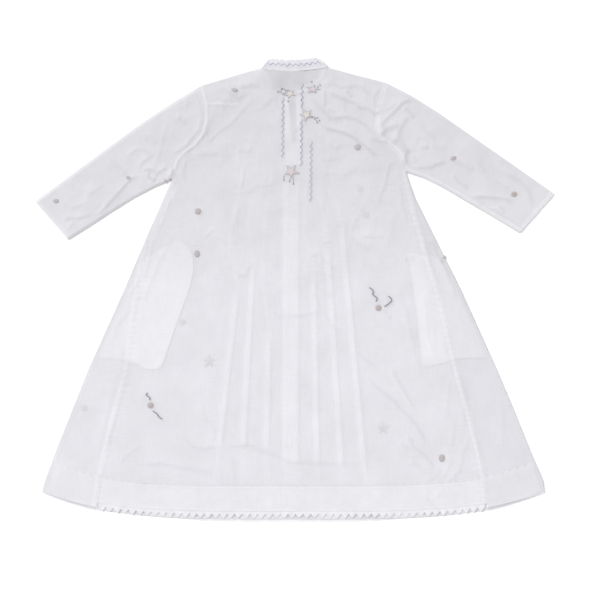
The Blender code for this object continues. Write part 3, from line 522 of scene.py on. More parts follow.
def lawn(name, colour, deep):
    """Cotton lawn: a closer plain weave than voile, starched flat, so whiter and opaque.

    Its yarns are 0.25 mm apart and drawn at 1.2 mm, and a faint mottle keeps it from
    looking like paper. A mark says where it lies double, and so a fifth whiter, and
    below 0 where it is painted darker, as the shade in a deep fold.
    """
    material, tree, shader = start_material(name)
    cloth = add_node(tree, "UVMap", uv_map="cloth").outputs["UV"]
    mottle = add_node(
        tree, "TexNoise",
        {"Vector": add_node(tree, "TexCoord").outputs["Object"], "Scale": 60.0, "Detail": 4.0},
    )
    blend = add_node(
        tree, "MapRange", {"Value": mottle.outputs["Fac"], "From Min": 0.3, "From Max": 0.7}
    )
    mixed = add_node(
        tree, "Mix", {0: blend.outputs[0], 6: linear(deep), 7: linear(colour)}, data_type="RGBA"
    )
    doubled = add_node(tree, "Attribute", attribute_name="doubled").outputs["Fac"]
    gain = add_node(
        tree, "MapRange", {"Value": doubled, "From Min": -2.0, "To Min": 0.6, "To Max": 1.2}
    )
    shaded = add_node(
        tree, "VectorMath", {0: mixed.outputs[2], 1: gain.outputs[0]}, operation="MULTIPLY"
    )
    bump = plain_weave(tree, cloth, 1.2 * MM, 0.4, 0.3, 0.08 * MM)
    finish_shader(
        tree, shader, shaded.outputs["Vector"], bump,
        {"Roughness": 0.8, "IOR": 1.46, "Specular IOR Level": 0.3, "Sheen Weight": 0.08},
    )
    return material


pocket_lawn = lawn("white_cotton_lawn", colour="DAD9DD", deep="D5D4D8")
placket_lawn = lawn("white_cotton_lawn_placket", colour="DBDADE", deep="D4D3D7")


def filled_outline(one, two, rows, columns, z, ripple):
    """A flat piece between two edges that share their ends: straight across at each share.

    Its height is z with a low ripple, a sine along it times a half sine across it.
    """
    v, u = np.linspace(0, 1, rows), np.linspace(0, 1, columns)
    first, second = smooth_line(one, v), smooth_line(two, v)
    plan = first[:, None] + (second - first)[:, None] * u[None, :, None]
    height = z + ripple * np.sin(6 * np.pi * v)[:, None] * np.sin(np.pi * u)[None]
    return at(plan[..., 0], plan[..., 1], height)


# double is how wide a bag lies double beside its inner edge, share how much whiter it is
for name, node, one, two, inner, seam, double, share in (
    ("pocket_bag_left_lawn", "pocket_bag_left", LEFT_POCKET_SEAM, LEFT_POCKET, LEFT_POCKET,
     FRONT_LEFT_SEAM, 130 * MM, 0.4),
    ("pocket_bag_right_lawn", "pocket_bag_right", RIGHT_POCKET, RIGHT_POCKET_SEAM, RIGHT_POCKET,
     FRONT_RIGHT_SEAM, 26 * MM, 0.45),
):
    grid = filled_outline(one, two, POCKET_ROWS, POCKET_COLUMNS, INNER_Z, POCKET_RIPPLE)
    x, down = grid[..., 0], LENGTH / 2 - grid[..., 1]
    from_inner = np.abs(x - edge_x(inner[:9], down))
    to_seam = smooth_step(np.abs(edge_x(seam, down)) - np.abs(x), *DOUBLE_CLEAR)
    doubled = share * to_seam * (1 - smooth_step(from_inner, double, double + DOUBLE_SOFT))
    doubled *= smooth_step(down, *DOUBLE_BELOW)
    bag = make_piece(name, [grid], pocket_lawn, doubled=doubled)
    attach(bag, "root")
    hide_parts(node)

down = np.linspace(PLACKET_TOP, PLACKET_END, PLACKET_ROWS)[:, None]
half_open = slit_half_width(down) * (down < SLIT_END)
reach = np.linspace(0, 1, PLACKET_HALF_COLUMNS)[None]
right_half = PLACKET_X + half_open + (PLACKET_HALF_WIDTH - half_open) * reach
left_half = PLACKET_X - half_open - (PLACKET_HALF_WIDTH - half_open) * reach[:, ::-1]
both = np.concatenate([left_half, right_half], axis=1)
grid = at(both, down, PLACKET_Z)
open_cells = np.zeros((len(down) - 1, both.shape[1] - 1), bool)
open_cells[:, left_half.shape[1] - 1] = down[:-1, 0] < SLIT_END
placket = make_piece("front_placket_lawn", [grid], placket_lawn, left_out=open_cells)
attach(placket, "root")
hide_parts("front_placket")

# ---------------------------------------------------------------------------
# The front hem facing: a band of the same lawn sewn inside the front hem and the
# gore hems. Its upper edge is pinked into a zigzag, which shows through the gores.

FACING_Z = 1.7 * MM
FRONT_FACING_DEPTH, ZIGZAG_DEPTH = 65 * MM, 9 * MM
FRONT_FACING_CLEAR, FRONT_FACING_INSET = 5.5 * MM, 6.5 * MM
FRONT_FACING_ENDS = (815, 868)
POINTS_FROM, POINTS_TO, POINTS_MIDDLE, POINTS_SOFT = 909 * MM, 922 * MM, -8 * MM, 3 * MM
POINTS_REACH = (375 * MM, 385 * MM)
TOOTH_PITCH = 15.2 * MM
RIGHT_SIDE = [
    (221.5, 229), (228, 250.5), (239, 280.5), (263, 329), (291, 385), (331, 465),
    (367, 545), (403, 625), (437, 705), (469, 785), (495, 845), (499, 875),
]
facing_lawn = lawn("white_cotton_lawn_facing", colour="D8D7DB", deep="D3D2D6")


def zigzag(x, start, pitch):
    """0 and 1 by turns every half pitch from start, and straight between."""
    turn = np.mod((x - start) / pitch, 1.0)
    return 1 - np.abs(2 * turn - 1)


def facing_ends(edges, downs, inset):
    """x of both ends of a facing's upper and lower edge, set in from two edges."""
    return [
        [edge_x(edge, down * MM) + way * inset for edge, way in zip(edges, (1, -1))]
        for down in downs
    ]


ends = facing_ends((LEFT_SIDE, RIGHT_SIDE), FRONT_FACING_ENDS, FRONT_FACING_INSET)
teeth = int(round((ends[0][1] - ends[0][0]) / TOOTH_PITCH))
top_x, low_x = (np.linspace(*pair, 6 * teeth + 1) for pair in ends)
pitch = (top_x[-1] - top_x[0]) / teeth
top_down = hem_down(top_x, FRONT_HEM_DOWN, FRONT_HEM_LIFT) - FRONT_FACING_DEPTH
top_down -= ZIGZAG_DEPTH * zigzag(top_x, top_x[0], pitch)
low_down = hem_down(low_x, FRONT_HEM_DOWN, FRONT_HEM_LIFT) - FRONT_FACING_CLEAR
v = np.concatenate([[0, 0.03, 0.06, 0.09], np.linspace(0.15, 0.75, 6), np.linspace(0.79, 1, 9)])
v = v[:, None]
x, down = top_x + v * (low_x - top_x), top_down + v * (low_down - top_down)
grid = at(x, down, FACING_Z)
turned_in = 1 - smooth_step(v, 0.03, 0.09)
in_hem = down - hem_down(x, 0, FRONT_HEM_LIFT)
# Behind the points the facing is painted darker, as the shade in the fold between them, which is
# deep in some places and shallow in others
deep = 0.4 + 0.7 * np.sin(x * 150) * np.sin(x * 97 + 1) + 0.5 * np.sin(x * 41 + 2)
deep = np.clip(deep, 0, 1) * (1 - smooth_step(np.abs(x - POINTS_MIDDLE), *POINTS_REACH))
behind_points = smooth_step(in_hem, POINTS_FROM, POINTS_FROM + POINTS_SOFT)
behind_points *= 1 - smooth_step(in_hem, POINTS_TO - POINTS_SOFT, POINTS_TO)
front_facing = make_piece(
    "front_hem_facing_lawn", [grid], facing_lawn, doubled=turned_in - deep * behind_points
)
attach(front_facing, "root")
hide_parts("front_hem_facing")

# ---------------------------------------------------------------------------
# The back: one panel of the same voile over everything, from the neck to the hem.
# It has been folded and lain in, so it keeps soft creases, and the pale pieces under
# it show through the open weave. Over the neck opening and the slit it is painted
# darker, as the shade of the open neck, and along the creases as their shade.

BACK_LEFT_SEAM = [
    (-247, 244.5), (-257.5, 267), (-284.5, 329), (-298.5, 372), (-311, 441), (-319, 485),
    (-327, 545), (-337, 629), (-369, 745), (-390, 845), (-399, 905),
]
BACK_RIGHT_SEAM = [
    (219.5, 229), (242, 325), (265, 405), (289, 485), (304, 551), (326, 641),
    (352, 733), (366, 789), (376, 845), (384, 905),
]
BACK_NECK = [(-67, 21), (-50, 24.5), (-21, 26.5), (9, 26), (42, 22.5), (65, 18)]
BACK_HEM_DOWN, BACK_HEM_LIFT = 907 * MM, 44 * MM
BACK_Z, HEM_STEP, JOINED_Z = 3.1 * MM, 1.0 * MM, 1.5 * MM
HEM_STEP_FROM, HEM_STEP_TO = 790 * MM, 835 * MM
BACK_COLUMNS = 290
VOILE_COVER, BACK_PLIES, SLIT_SHARE = 0.5, 1.0, 0.9
TAPER, NECK_CLEAR, SIDE_JOINED = 22 * MM, (60 * MM, 85 * MM), (244.5 * MM, 266.5 * MM)
NECK_OPENING = [(-60, 48), (-44, 60), (-25, 68), (-10, 68), (9, 58), (29, 48), (50, 38)]
NECK_SOFT, NECK_LEFT, NECK_RIGHT = (-9 * MM, 12 * MM), (-66 * MM, -44 * MM), (30 * MM, 54 * MM)
SLIT_LEAN = ([85 * MM, 165 * MM], [-8 * MM, -2 * MM])
SLIT_HALF, SLIT_SOFT, SLIT_BEGINS = 5.5 * MM, (-4 * MM, 3 * MM), (40 * MM, 60 * MM)
SLIT_CLOSES = (90 * MM, 172 * MM)
CREASES = [  # width and height in mm, and the line
    # Across the shoulders and the chest, left of the opening
    (5.4, 1.28, [(-69, 58), (-87, 56), (-115, 60)]),
    (6.3, 1.18, [(-159, 68), (-145, 62), (-128, 72), (-113, 82), (-91, 70)]),
    (4.9, 0.65, [(-179, 90), (-153, 82), (-141, 88), (-121, 84)]),
    (4.3, 1.03, [(-167, 98), (-147, 96), (-139, 104)]),
    (4.9, 0.80, [(-33, 84), (-47, 82), (-65, 102), (-83, 106)]),
    (4.9, 0.84, [(-85, 86), (-129, 134), (-151, 148), (-171, 168), (-183, 170)]),
    (5.6, 0.60, [(-157, 104), (-161, 108), (-179, 154), (-193, 170), (-199, 186)]),
    (4.9, 0.59, [(-201, 178), (-217, 190), (-217, 198), (-203, 214), (-191, 218)]),
    (7.1, 1.01, [(-217, 200), (-225, 234), (-220, 246)]),
    (6.5, 0.90, [(-211, 196), (-153, 192), (-128, 206)]),
    (4.7, 1.03, [(-118, 184), (-103, 188), (-84, 186)]),
    (4.5, 0.61, [(-101, 214), (-104, 240), (-107, 266)]),
    (5.8, 0.55, [(-22, 244), (-61, 258), (-77, 257), (-91, 270), (-117, 274), (-168, 256)]),
    # Right of the opening, to the right armhole
    (6.0, 1.18, [(49, 60), (73, 52), (93, 60), (119, 56), (135, 60), (153, 84)]),
    (4.9, 1.03, [(59, 62), (59, 102)]),
    (5.6, 2.28, [(60, 66), (96, 82), (132, 97)]),
    (5.4, 1.85, [
        (31, 70), (29, 76), (39, 90), (69, 120), (81, 122), (101, 118), (123, 124), (137, 134),
        (157, 160),
    ]),
    (4.9, 1.92, [(114, 97), (145, 102), (159, 112), (174, 110)]),
    (4.7, 0.80, [(169, 62), (157, 80), (158, 94), (175, 99)]),
    (4.3, 1.33, [(98, 63), (114, 79)]),
    (4.3, 1.08, [(61, 101), (80, 109)]),
    (4.3, 0.76, [(84, 91), (97, 94), (100, 110)]),
    (6.0, 2.22, [(38, 134), (47, 132), (65, 142), (97, 150), (117, 160), (159, 194), (174, 196)]),
    (5.4, 1.08, [(143, 161), (165, 166), (187, 170)]),
    (5.2, 0.66, [(61, 166), (69, 176), (83, 180), (93, 174), (116, 174)]),
    (6.3, 0.65, [(42, 203), (67, 206), (100, 199)]),
    (6.5, 0.52, [(63, 210), (64, 232), (99, 234), (127, 222), (153, 226), (166, 233)]),
    (6.0, 0.92, [(209, 202), (189, 216), (179, 258), (169, 280), (168, 296)]),
    (5.2, 0.59, [(209, 244), (214, 290), (224, 336)]),
    # Down the skirt, left half
    (6.0, 0.53, [(-113, 288), (-111, 302), (-117, 322), (-118, 340)]),
    (4.5, 0.92, [(-248, 280), (-257, 310)]),
    (4.5, 0.56, [(-258, 318), (-276, 350)]),
    (6.9, 0.57, [(-235, 350), (-249, 366), (-265, 396), (-284, 440), (-305, 492)]),
    (4.7, 0.52, [(-284, 358), (-287, 388), (-305, 450)]),
    (4.3, 0.47, [(-310, 440), (-330, 478)]),
    (4.3, 0.48, [(-308, 466), (-324, 530)]),
    (4.9, 0.43, [(-331, 486), (-331, 506), (-357, 538), (-361, 562)]),
    (4.7, 0.66, [(-160, 342), (-184, 364)]),
    (6.0, 0.32, [(-202, 398), (-197, 412), (-201, 428), (-199, 444)]),
    (5.8, 0.82, [(-77, 406), (-92, 418), (-97, 436), (-111, 436), (-131, 418), (-148, 417)]),
    (5.4, 0.42, [(-48, 402), (-36, 424)]),
    (4.3, 0.38, [(-184, 622), (-173, 612), (-155, 617)]),
    (5.8, 0.56, [(-185, 686), (-185, 712), (-161, 746), (-165, 776)]),
    (6.0, 0.45, [(-339, 574), (-345, 590), (-347, 644)]),
    (4.3, 0.50, [(-358, 640), (-376, 714), (-397, 812)]),
    (4.9, 0.40, [(-351, 692), (-361, 730), (-369, 752), (-377, 790)]),
    # Down the skirt, right half
    (6.0, 0.53, [(151, 312), (127, 304)]),
    (5.4, 0.47, [(137, 310), (123, 324), (112, 350)]),
    (6.9, 0.79, [(105, 350), (115, 364), (153, 388)]),
    (5.4, 0.82, [(132, 358), (176, 358)]),
    (5.4, 0.46, [(99, 328), (103, 368)]),
    (5.8, 0.77, [(19, 396), (39, 396), (47, 392), (55, 406), (63, 408), (81, 430)]),
    (4.3, 0.74, [(53, 371), (72, 369)]),
    (7.5, 0.70, [
        (-58, 508), (-40, 513), (-21, 517), (17, 515), (44, 509), (57, 514), (66, 530), (76, 541),
        (91, 545), (114, 547),
    ]),
    (5.2, 0.60, [(28, 468), (37, 472), (43, 482), (50, 506)]),
    (7.4, 0.81, [(47, 460), (71, 478)]),
    (4.9, 0.66, [(262, 376), (269, 408), (283, 444), (291, 460), (310, 482)]),
    (4.5, 1.12, [(261, 348), (261, 368), (275, 374), (300, 424), (321, 474), (310, 488)]),
    (6.5, 0.52, [(217, 404), (239, 400)]),
    (7.6, 0.73, [(209, 454), (211, 480), (223, 508), (234, 558), (245, 612), (260, 642)]),
    (5.6, 0.70, [(255, 464), (263, 502), (267, 560), (284, 612)]),
    (5.4, 1.00, [(117, 576), (121, 586), (140, 602), (166, 627)]),
    (4.7, 0.70, [(173, 500), (191, 524)]),
    (6.9, 0.43, [(292, 546), (301, 580), (303, 600), (316, 640)]),
    (5.6, 1.41, [(187, 614), (212, 658), (239, 704)]),
    (6.3, 1.41, [(134, 626), (153, 650), (200, 690), (239, 732), (253, 756), (266, 784)]),
    (5.6, 0.57, [(311, 638), (307, 680), (305, 722)]),
    (4.3, 0.76, [(328, 622), (335, 650), (344, 690)]),
    (4.9, 0.56, [(334, 698), (339, 720), (334, 744)]),
    (4.3, 0.58, [(320, 724), (313, 782)]),
    (6.3, 0.54, [(408, 680), (419, 722), (415, 764), (417, 786)]),
    (4.3, 0.65, [(356, 744), (371, 808)]),
    # Above the hem
    (6.5, 0.84, [(-232, 752), (-209, 774), (-195, 780), (-179, 782), (-145, 775)]),
    (7.4, 0.88, [
        (-160, 780), (-143, 776), (-89, 776), (-50, 790), (-13, 808), (60, 811), (144, 815),
    ]),
    (5.4, 0.64, [(-300, 774), (-327, 788), (-345, 806), (-356, 801)]),
    (5.2, 0.47, [(-139, 798), (-125, 812), (-121, 848)]),
    (6.9, 0.83, [(-324, 816), (-267, 812), (-230, 818), (-156, 831)]),
    (5.6, 1.42, [(222, 748), (235, 776), (261, 798), (281, 825)]),
    (6.5, 0.69, [(354, 754), (335, 792), (329, 828), (299, 859)]),
    (5.4, 0.86, [(205, 771), (227, 781)]),
    (4.3, 0.53, [(313, 792), (311, 814), (299, 836), (285, 853)]),
    (4.9, 0.72, [(227, 800), (255, 828), (277, 833)]),
    (5.6, 0.52, [(295, 818), (279, 840), (256, 851)]),
    (4.9, 0.67, [(267, 862), (263, 884), (279, 900), (307, 908), (322, 899)]),
    (5.6, 0.45, [(-195, 860), (-197, 892)]),
    (4.3, 0.55, [(299, 860), (281, 884)]),
    # The left sleeve
    (5.2, 0.80, [(-199, 66), (-185, 118), (-191, 144), (-219, 178), (-241, 192), (-245, 206)]),
    (4.3, 0.58, [(-214, 84), (-219, 110)]),
    (4.5, 0.60, [(-236, 105), (-222, 100)]),
    (4.9, 1.10, [(-233, 110), (-231, 124), (-217, 133)]),
    (5.4, 0.49, [(-248, 122), (-263, 160), (-273, 202), (-282, 218)]),
    (5.4, 0.65, [(-297, 150), (-278, 171)]),
    (4.7, 0.81, [(-341, 203), (-315, 182), (-293, 190), (-287, 197), (-307, 212), (-314, 232)]),
    (5.8, 0.91, [(-375, 199), (-341, 230), (-350, 240)]),
    (4.3, 0.53, [(-228, 208), (-240, 224)]),
    (5.2, 1.29, [(-307, 221), (-285, 226), (-277, 232), (-253, 219)]),
    (4.7, 2.11, [(-244, 222), (-248, 240)]),
    (4.7, 1.73, [(-294, 228), (-293, 238), (-280, 247)]),
    (5.6, 1.00, [(-297, 235), (-327, 242), (-357, 275), (-387, 308), (-407, 324)]),
    (5.4, 0.98, [(-405, 318), (-415, 316), (-435, 322), (-451, 320), (-467, 329)]),
    (6.0, 0.51, [(-377, 251), (-419, 281)]),
    (4.7, 0.56, [(-409, 289), (-451, 303)]),
    (4.3, 0.35, [(-385, 287), (-404, 307)]),
    (4.3, 0.57, [(-440, 328), (-456, 348)]),
    # The right sleeve
    (5.6, 1.70, [(237, 83), (217, 90), (175, 132), (175, 144)]),
    (4.3, 0.92, [(202, 89), (191, 102), (177, 107)]),
    (4.3, 2.27, [(215, 95), (238, 121)]),
    (6.9, 0.95, [(228, 112), (209, 146), (204, 164)]),
    (6.2, 1.80, [(209, 135), (181, 144), (168, 161)]),
    (8.0, 2.30, [(188, 174), (205, 166), (223, 188), (219, 202), (221, 220)]),
    (6.7, 0.62, [(250, 118), (257, 144), (275, 158), (279, 178), (302, 189)]),
    (4.3, 0.53, [(239, 162), (263, 162)]),
    (4.7, 1.25, [(247, 180), (267, 180)]),
    (5.4, 0.74, [(234, 193), (242, 210)]),
    (6.9, 0.95, [(303, 199), (330, 212), (359, 227)]),
    (5.4, 1.14, [(231, 220), (273, 220), (281, 214), (307, 207)]),
    (6.0, 0.58, [(362, 205), (380, 230)]),
    (6.9, 1.09, [(397, 221), (449, 246), (467, 268), (473, 296), (480, 304)]),
    (4.3, 1.15, [(310, 229), (323, 246), (347, 261)]),
    (5.4, 0.75, [(391, 241), (431, 265)]),
    (5.6, 1.35, [(345, 280), (375, 278), (417, 282), (440, 291)]),
    (4.7, 0.88, [(406, 293), (418, 311)]),
    (4.3, 0.58, [(381, 302), (399, 304), (441, 331)]),
]
CREST_SHIFT, SHADE_SHARE, SHADE_FULL, CREASE_SHADE = 2.2 * MM, 0.6, 1.6 * MM, 0.36
SEAM_COVER, SEAM_RISE = 0.15, 0.08 * MM
YOKE_SEAM = [(-176, 92), (-160, 90.5), (-138, 92.5), (-116, 92)]
UNDERARM = [
    (224, 224.7), (261.2, 237.3), (295.8, 254.3), (340, 280.6), (395.4, 313), (449, 345),
]
SEAMS = [  # half the band's width and how far aside it lies in mm, its share, and the line
    (5.5, -4, 0.7, [place for place in BACK_LEFT_SEAM if place[1] > 320]),
    (5, -1, 0.7, BACK_RIGHT_SEAM),
    (5, 3, 0.35, LEFT_SIDE),
    (2.8, -1, 1.2, LEFT_ARMHOLE),
    (6.5, 0, 0.8, RIGHT_ARMHOLE),
    (2.4, 0, 0.8, YOKE_SEAM),
    (4.5, 0, 1.3, UNDERARM),
]
PUCKER_PITCH, PUCKER_HEIGHT, PUCKER_REACH = 12 * MM, 0.34 * MM, 9 * MM
CRINKLE_PITCH, CRINKLE_HEIGHT, CRINKLE_REACH = 10.5 * MM, 0.16 * MM, 10 * MM
CRINKLE_ABOVE, CRINKLE_BELOW, CRINKLE_FADE = 90, 210, 60 * MM
CRINKLE_SHARES = (0.3, 0.5, 0.4, 0.6, 1.0, 1.0, 0.8)
CRUMPLE_WAVES, CRUMPLE_SLIMNESS, CRUMPLE_SHARE, HANDLED = 26, 260, 0.8, 0.65
UPPER_BODY_DOWN, UPPER_BODY_X = (0.30, 0.55), (0.16, 0.22)
WRINKLE_WAVES, WRINKLE_HEIGHT, WRINKLE_LEFT, SKIRT_DOWN = 12, 0.30 * MM, 0.35, (0.3, 0.45)
rng = np.random.default_rng(11)
crumple_waves, wrinkle_waves = (
    (rng.uniform(low, high, count) * MM, rng.uniform(0, np.pi, count),
     rng.uniform(0, 2 * np.pi, count))
    for low, high, count in ((38, 170, CRUMPLE_WAVES), (34, 80, WRINKLE_WAVES))
)


def nearest(places, line):
    """How far each place is from a line, at what share of its length, and the offset."""
    along, steps = lengths_along(line), np.diff(line, axis=0)
    lengths = np.diff(along)
    from_start = places[:, None] - line[:-1]
    t = np.clip((from_start * steps).sum(axis=-1) / lengths**2, 0, 1)
    offset = from_start - t[..., None] * steps
    away = np.hypot(offset[..., 0], offset[..., 1])
    one = (np.arange(len(places)), away.argmin(axis=1))
    return away[one], ((along[:-1] + t * lengths) / along[-1])[one], offset[one]


def places_of(x, down):
    """x and down of every point in one long table."""
    x, down = np.broadcast_arrays(np.asarray(x, float), down)
    return np.stack([x.ravel(), down.ravel()], axis=-1)


def creases(x, down):
    """Height and shade of all the creases at points of the dress.

    A crease is a ridge whose height falls off as e to the minus distance over width, with a
    rounded crest. It is steeper on the side turned away from the lamp, along its line, and
    it fades out over the first and the last fifth of the line. Its shade, a painted darker
    line where the cloth bends sharply, is a bell curve across the line.
    """
    places = places_of(x, down)
    relief, shade = np.zeros((2, len(places)))
    lamp_way = np.array([LAMP_TOWARDS[0], -LAMP_TOWARDS[1]]) / np.hypot(*LAMP_TOWARDS[:2])
    for width, height, line in CREASES:
        line = np.array(line) * MM
        width, height = width * MM, height * MM
        inside = (places > line.min(axis=0) - 5 * width) & (places < line.max(axis=0) + 5 * width)
        near = np.flatnonzero(inside.all(axis=1))
        away, share, offset = nearest(places[near], line)
        turned = (offset @ lamp_way) / (away + 1e-9)
        past = away + CREST_SHIFT * turned
        gentle = (turned < 0) & (past > 0)
        own_width = width * np.where(gentle, 0.75 - 0.25 * turned, 0.75 - 0.35 * np.abs(turned))
        crest = np.exp(0.5 - np.sqrt((past / own_width) ** 2 + 0.25))
        fade = smooth_step(share, 0, 0.2) * (1 - smooth_step(share, 0.8, 1))
        relief[near] += height * crest * fade
        painted_crease_shade = min(height / SHADE_FULL, 1.5) * np.exp(-((away / (SHADE_SHARE * width)) ** 2))
        shade[near] = np.maximum(shade[near], painted_crease_shade * fade)
    shape = np.broadcast(x, down).shape
    return relief.reshape(shape), shade.reshape(shape)


def seam_bands(x, down):
    """1 on the seams, where the voile is folded flat and stitched, and 0 beside them."""
    places = places_of(x, down)
    total = np.zeros(len(places))
    for half_width, aside, share, line in SEAMS:
        away = nearest(places - (aside * MM, 0), np.array(line, float) * MM)[0]
        band = share * (1 - smooth_step(away, 0.5 * half_width * MM, 1.2 * half_width * MM))
        total = np.maximum(total, band)
    return total.reshape(np.broadcast(x, down).shape)


def crumple(x, down):
    """Small waves in all directions, a sum of sines, each 1 part high to 260 long.

    They are nearly twice as high over the upper body, which has been handled most.
    """
    total = np.zeros(np.broadcast(x, down).shape)
    for length, turn, phase in zip(*crumple_waves):
        across = (x * np.cos(turn) + down * np.sin(turn)) * 2 * np.pi / length
        wave = np.sin(across + phase + 1.5 * np.sin(across * 0.31 + turn))
        total += length / CRUMPLE_SLIMNESS * wave
    upper_body = 1 - smooth_step(down, *UPPER_BODY_DOWN)
    upper_body = upper_body * (1 - smooth_step(np.abs(x), *UPPER_BODY_X))
    return total / np.sqrt(CRUMPLE_WAVES / 2) * (CRUMPLE_SHARE + HANDLED * upper_body)


def wrinkles(x, down):
    """Fine sharp wrinkles: rows of narrow ridges, each the eighth power of a sine.

    A slow sine fades each row in and out, and they are lowest over the skirt.
    """
    total = np.zeros(np.broadcast(x, down).shape)
    for length, turn, phase in zip(*wrinkle_waves):
        across = x * np.cos(turn) + down * np.sin(turn)
        slow = (down * np.cos(turn) - x * np.sin(turn)) * 2 * np.pi / length
        ridges = np.sin(across * np.pi / length + 0.9 * np.sin(slow / 4 + phase)) ** 8
        total += ridges * np.clip(np.sin(slow / 3 + 2 * phase), 0, 1)
    return WRINKLE_HEIGHT * total * (1 - (1 - WRINKLE_LEFT) * smooth_step(down, *SKIRT_DOWN))


def pucker(x, down, seam):
    """Ripples that the sewing thread draws in across a seam, dying out away from it."""
    away = np.abs(x - edge_x(seam, down))
    wave = np.sin(2 * np.pi * down / PUCKER_PITCH + 2.2 * np.sin(down / (23 * MM)))
    return PUCKER_HEIGHT * np.exp(-away / PUCKER_REACH) * wave * (down > seam[0][1] * MM)


def crinkles(x, down):
    """Short ripples along each pleat, where its stitching has drawn the cloth in.

    Each is a sine of the distance down, faded by a bell curve across the pleat.
    """
    total = np.zeros(np.broadcast(x, down).shape)
    for pleat, share in zip(PLEATS, CRINKLE_SHARES):
        start = (pleat.down_top - CRINKLE_ABOVE) * MM
        end = (pleat.down_top + CRINKLE_BELOW) * MM
        faded = smooth_step(down, start, start + CRINKLE_FADE)
        faded = faded * (1 - smooth_step(down, end - CRINKLE_FADE, end))
        away = (x - pleat_x(pleat, down)) / CRINKLE_REACH
        uneven = 2.5 * np.sin(down / (31 * MM) + pleat.x_top)
        wave = np.sin(2 * np.pi * down / CRINKLE_PITCH + uneven)
        total += share * faded * np.exp(-(away**2)) * wave
    return CRINKLE_HEIGHT * total


def below_shoulders(x, down):
    """How far down a place is from the shoulder lines."""
    line = np.array(LEFT_SHOULDER + RIGHT_SHOULDER) * MM
    return down - np.interp(x, line[:, 0], line[:, 1])


def joined(x, down):
    """1 inside the body, and 0 where back and front are sewn together at their edges."""
    outside_neck = smooth_step(np.abs(x), *NECK_CLEAR)
    shoulder = 1 - outside_neck * (1 - smooth_step(below_shoulders(x, down), 0, TAPER))
    inside = x - edge_x(LEFT_SIDE, down)
    beside = smooth_step(down, *SIDE_JOINED)
    beside = beside * (1 - smooth_step(down, LEFT_GORE_TOP - 2 * TAPER, LEFT_GORE_TOP))
    return np.minimum(shoulder, 1 - beside * (1 - smooth_step(inside, 0, TAPER)))


def back_height(x, down):
    """The back's height: its rest height, the step over the facing, folds, waves and puckers."""
    rest = BACK_Z + HEM_STEP * smooth_step(down, HEM_STEP_FROM, HEM_STEP_TO)
    relief = creases(x, down)[0] + crumple(x, down) + wrinkles(x, down) + crinkles(x, down)
    relief += pucker(x, down, BACK_LEFT_SEAM) + pucker(x, down, BACK_RIGHT_SEAM)
    relief += SEAM_RISE * seam_bands(x, down)
    return JOINED_Z + (rest + relief - JOINED_Z) * joined(x, down)


def neck_opening(x, down):
    """1 where only the back's own layer shows, inside the front collar and the slit."""
    # Where this is 1 the back is painted darker and opaque, as the shade of the open neck
    low = np.array(NECK_OPENING) * MM
    edge = np.interp(x, low[:, 0], low[:, 1], left=0, right=0)
    inside = smooth_step(edge - down, *NECK_SOFT)
    inside = inside * smooth_step(x, *NECK_LEFT) * (1 - smooth_step(x, *NECK_RIGHT))
    blotch = 0.86 + 0.14 * np.sin(x * 150 + 1.2) * np.sin(down * 190 + x * 60)
    half = SLIT_HALF * (1 - smooth_step(down, *SLIT_CLOSES))
    slit = smooth_step(half - np.abs(x - np.interp(down, *SLIT_LEAN)), *SLIT_SOFT)
    slit = slit * (down < SLIT_CLOSES[1]) * smooth_step(down, *SLIT_BEGINS)
    return np.maximum(inside * blotch, SLIT_SHARE * slit)


left = panel_side(LEFT_ARMHOLE, BACK_LEFT_SEAM, BACK_HEM_DOWN, BACK_HEM_LIFT)
right = panel_side(RIGHT_ARMHOLE, BACK_RIGHT_SEAM, BACK_HEM_DOWN, BACK_HEM_LIFT)
shares = np.linspace(0, 1, BACK_COLUMNS)
top = smooth_line(LEFT_SHOULDER[:-1] + BACK_NECK + RIGHT_SHOULDER[1:], shares)
hem_x = left[-1, 0] + shares * (right[-1, 0] - left[-1, 0])
bottom = np.stack([hem_x, hem_down(hem_x, BACK_HEM_DOWN, BACK_HEM_LIFT)], axis=1)
grid = patch(top, bottom, left, right, shares)
x, down = grid[..., 0], grid[..., 1]
bare = neck_opening(x, down)
banded = SEAM_COVER * seam_bands(x, down)
back = make_piece(
    "back_of_voile",
    [at(x, down, back_height(x, down))],
    body_voile,
    # Along the creases the back is painted darker, as their shade
    plies=BACK_PLIES - CREASE_SHADE * creases(x, down)[1],
    # Over the neck opening and the slit the back is opaque and painted darker, as the shade of the
    # open neck
    cover=VOILE_COVER + (1 - VOILE_COVER) * bare + banded * (1 - bare),
    aged=bare,
)
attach(back, "root")
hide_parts("back_panel")

# ---------------------------------------------------------------------------
# The gores: a wedge of voile on each side, folded round the side edge, so that
# one half lies with the back and the other with the front.

GORE_ROWS, GORE_COLUMNS = 170, 26
GORE_CORNER_DOWN, GORE_HEM_DROP = 869 * MM, 7 * MM
EDGE_STRIP, STRIP_SHADE, STRIP_PLIES, STRIP_LIGHT = (1 * MM, 16 * MM), 0.45, 0.22, 1.2
STRIP_FROM, STRIP_TO = (225 * MM, 250 * MM), (540 * MM, 600 * MM)


def round_edge(distance, radius):
    """Share of the half thickness near a folded edge: a quarter circle, then 1."""
    return np.sqrt(np.clip(1 - (1 - np.clip(distance / radius, 0, 1)) ** 2, 0, 1))


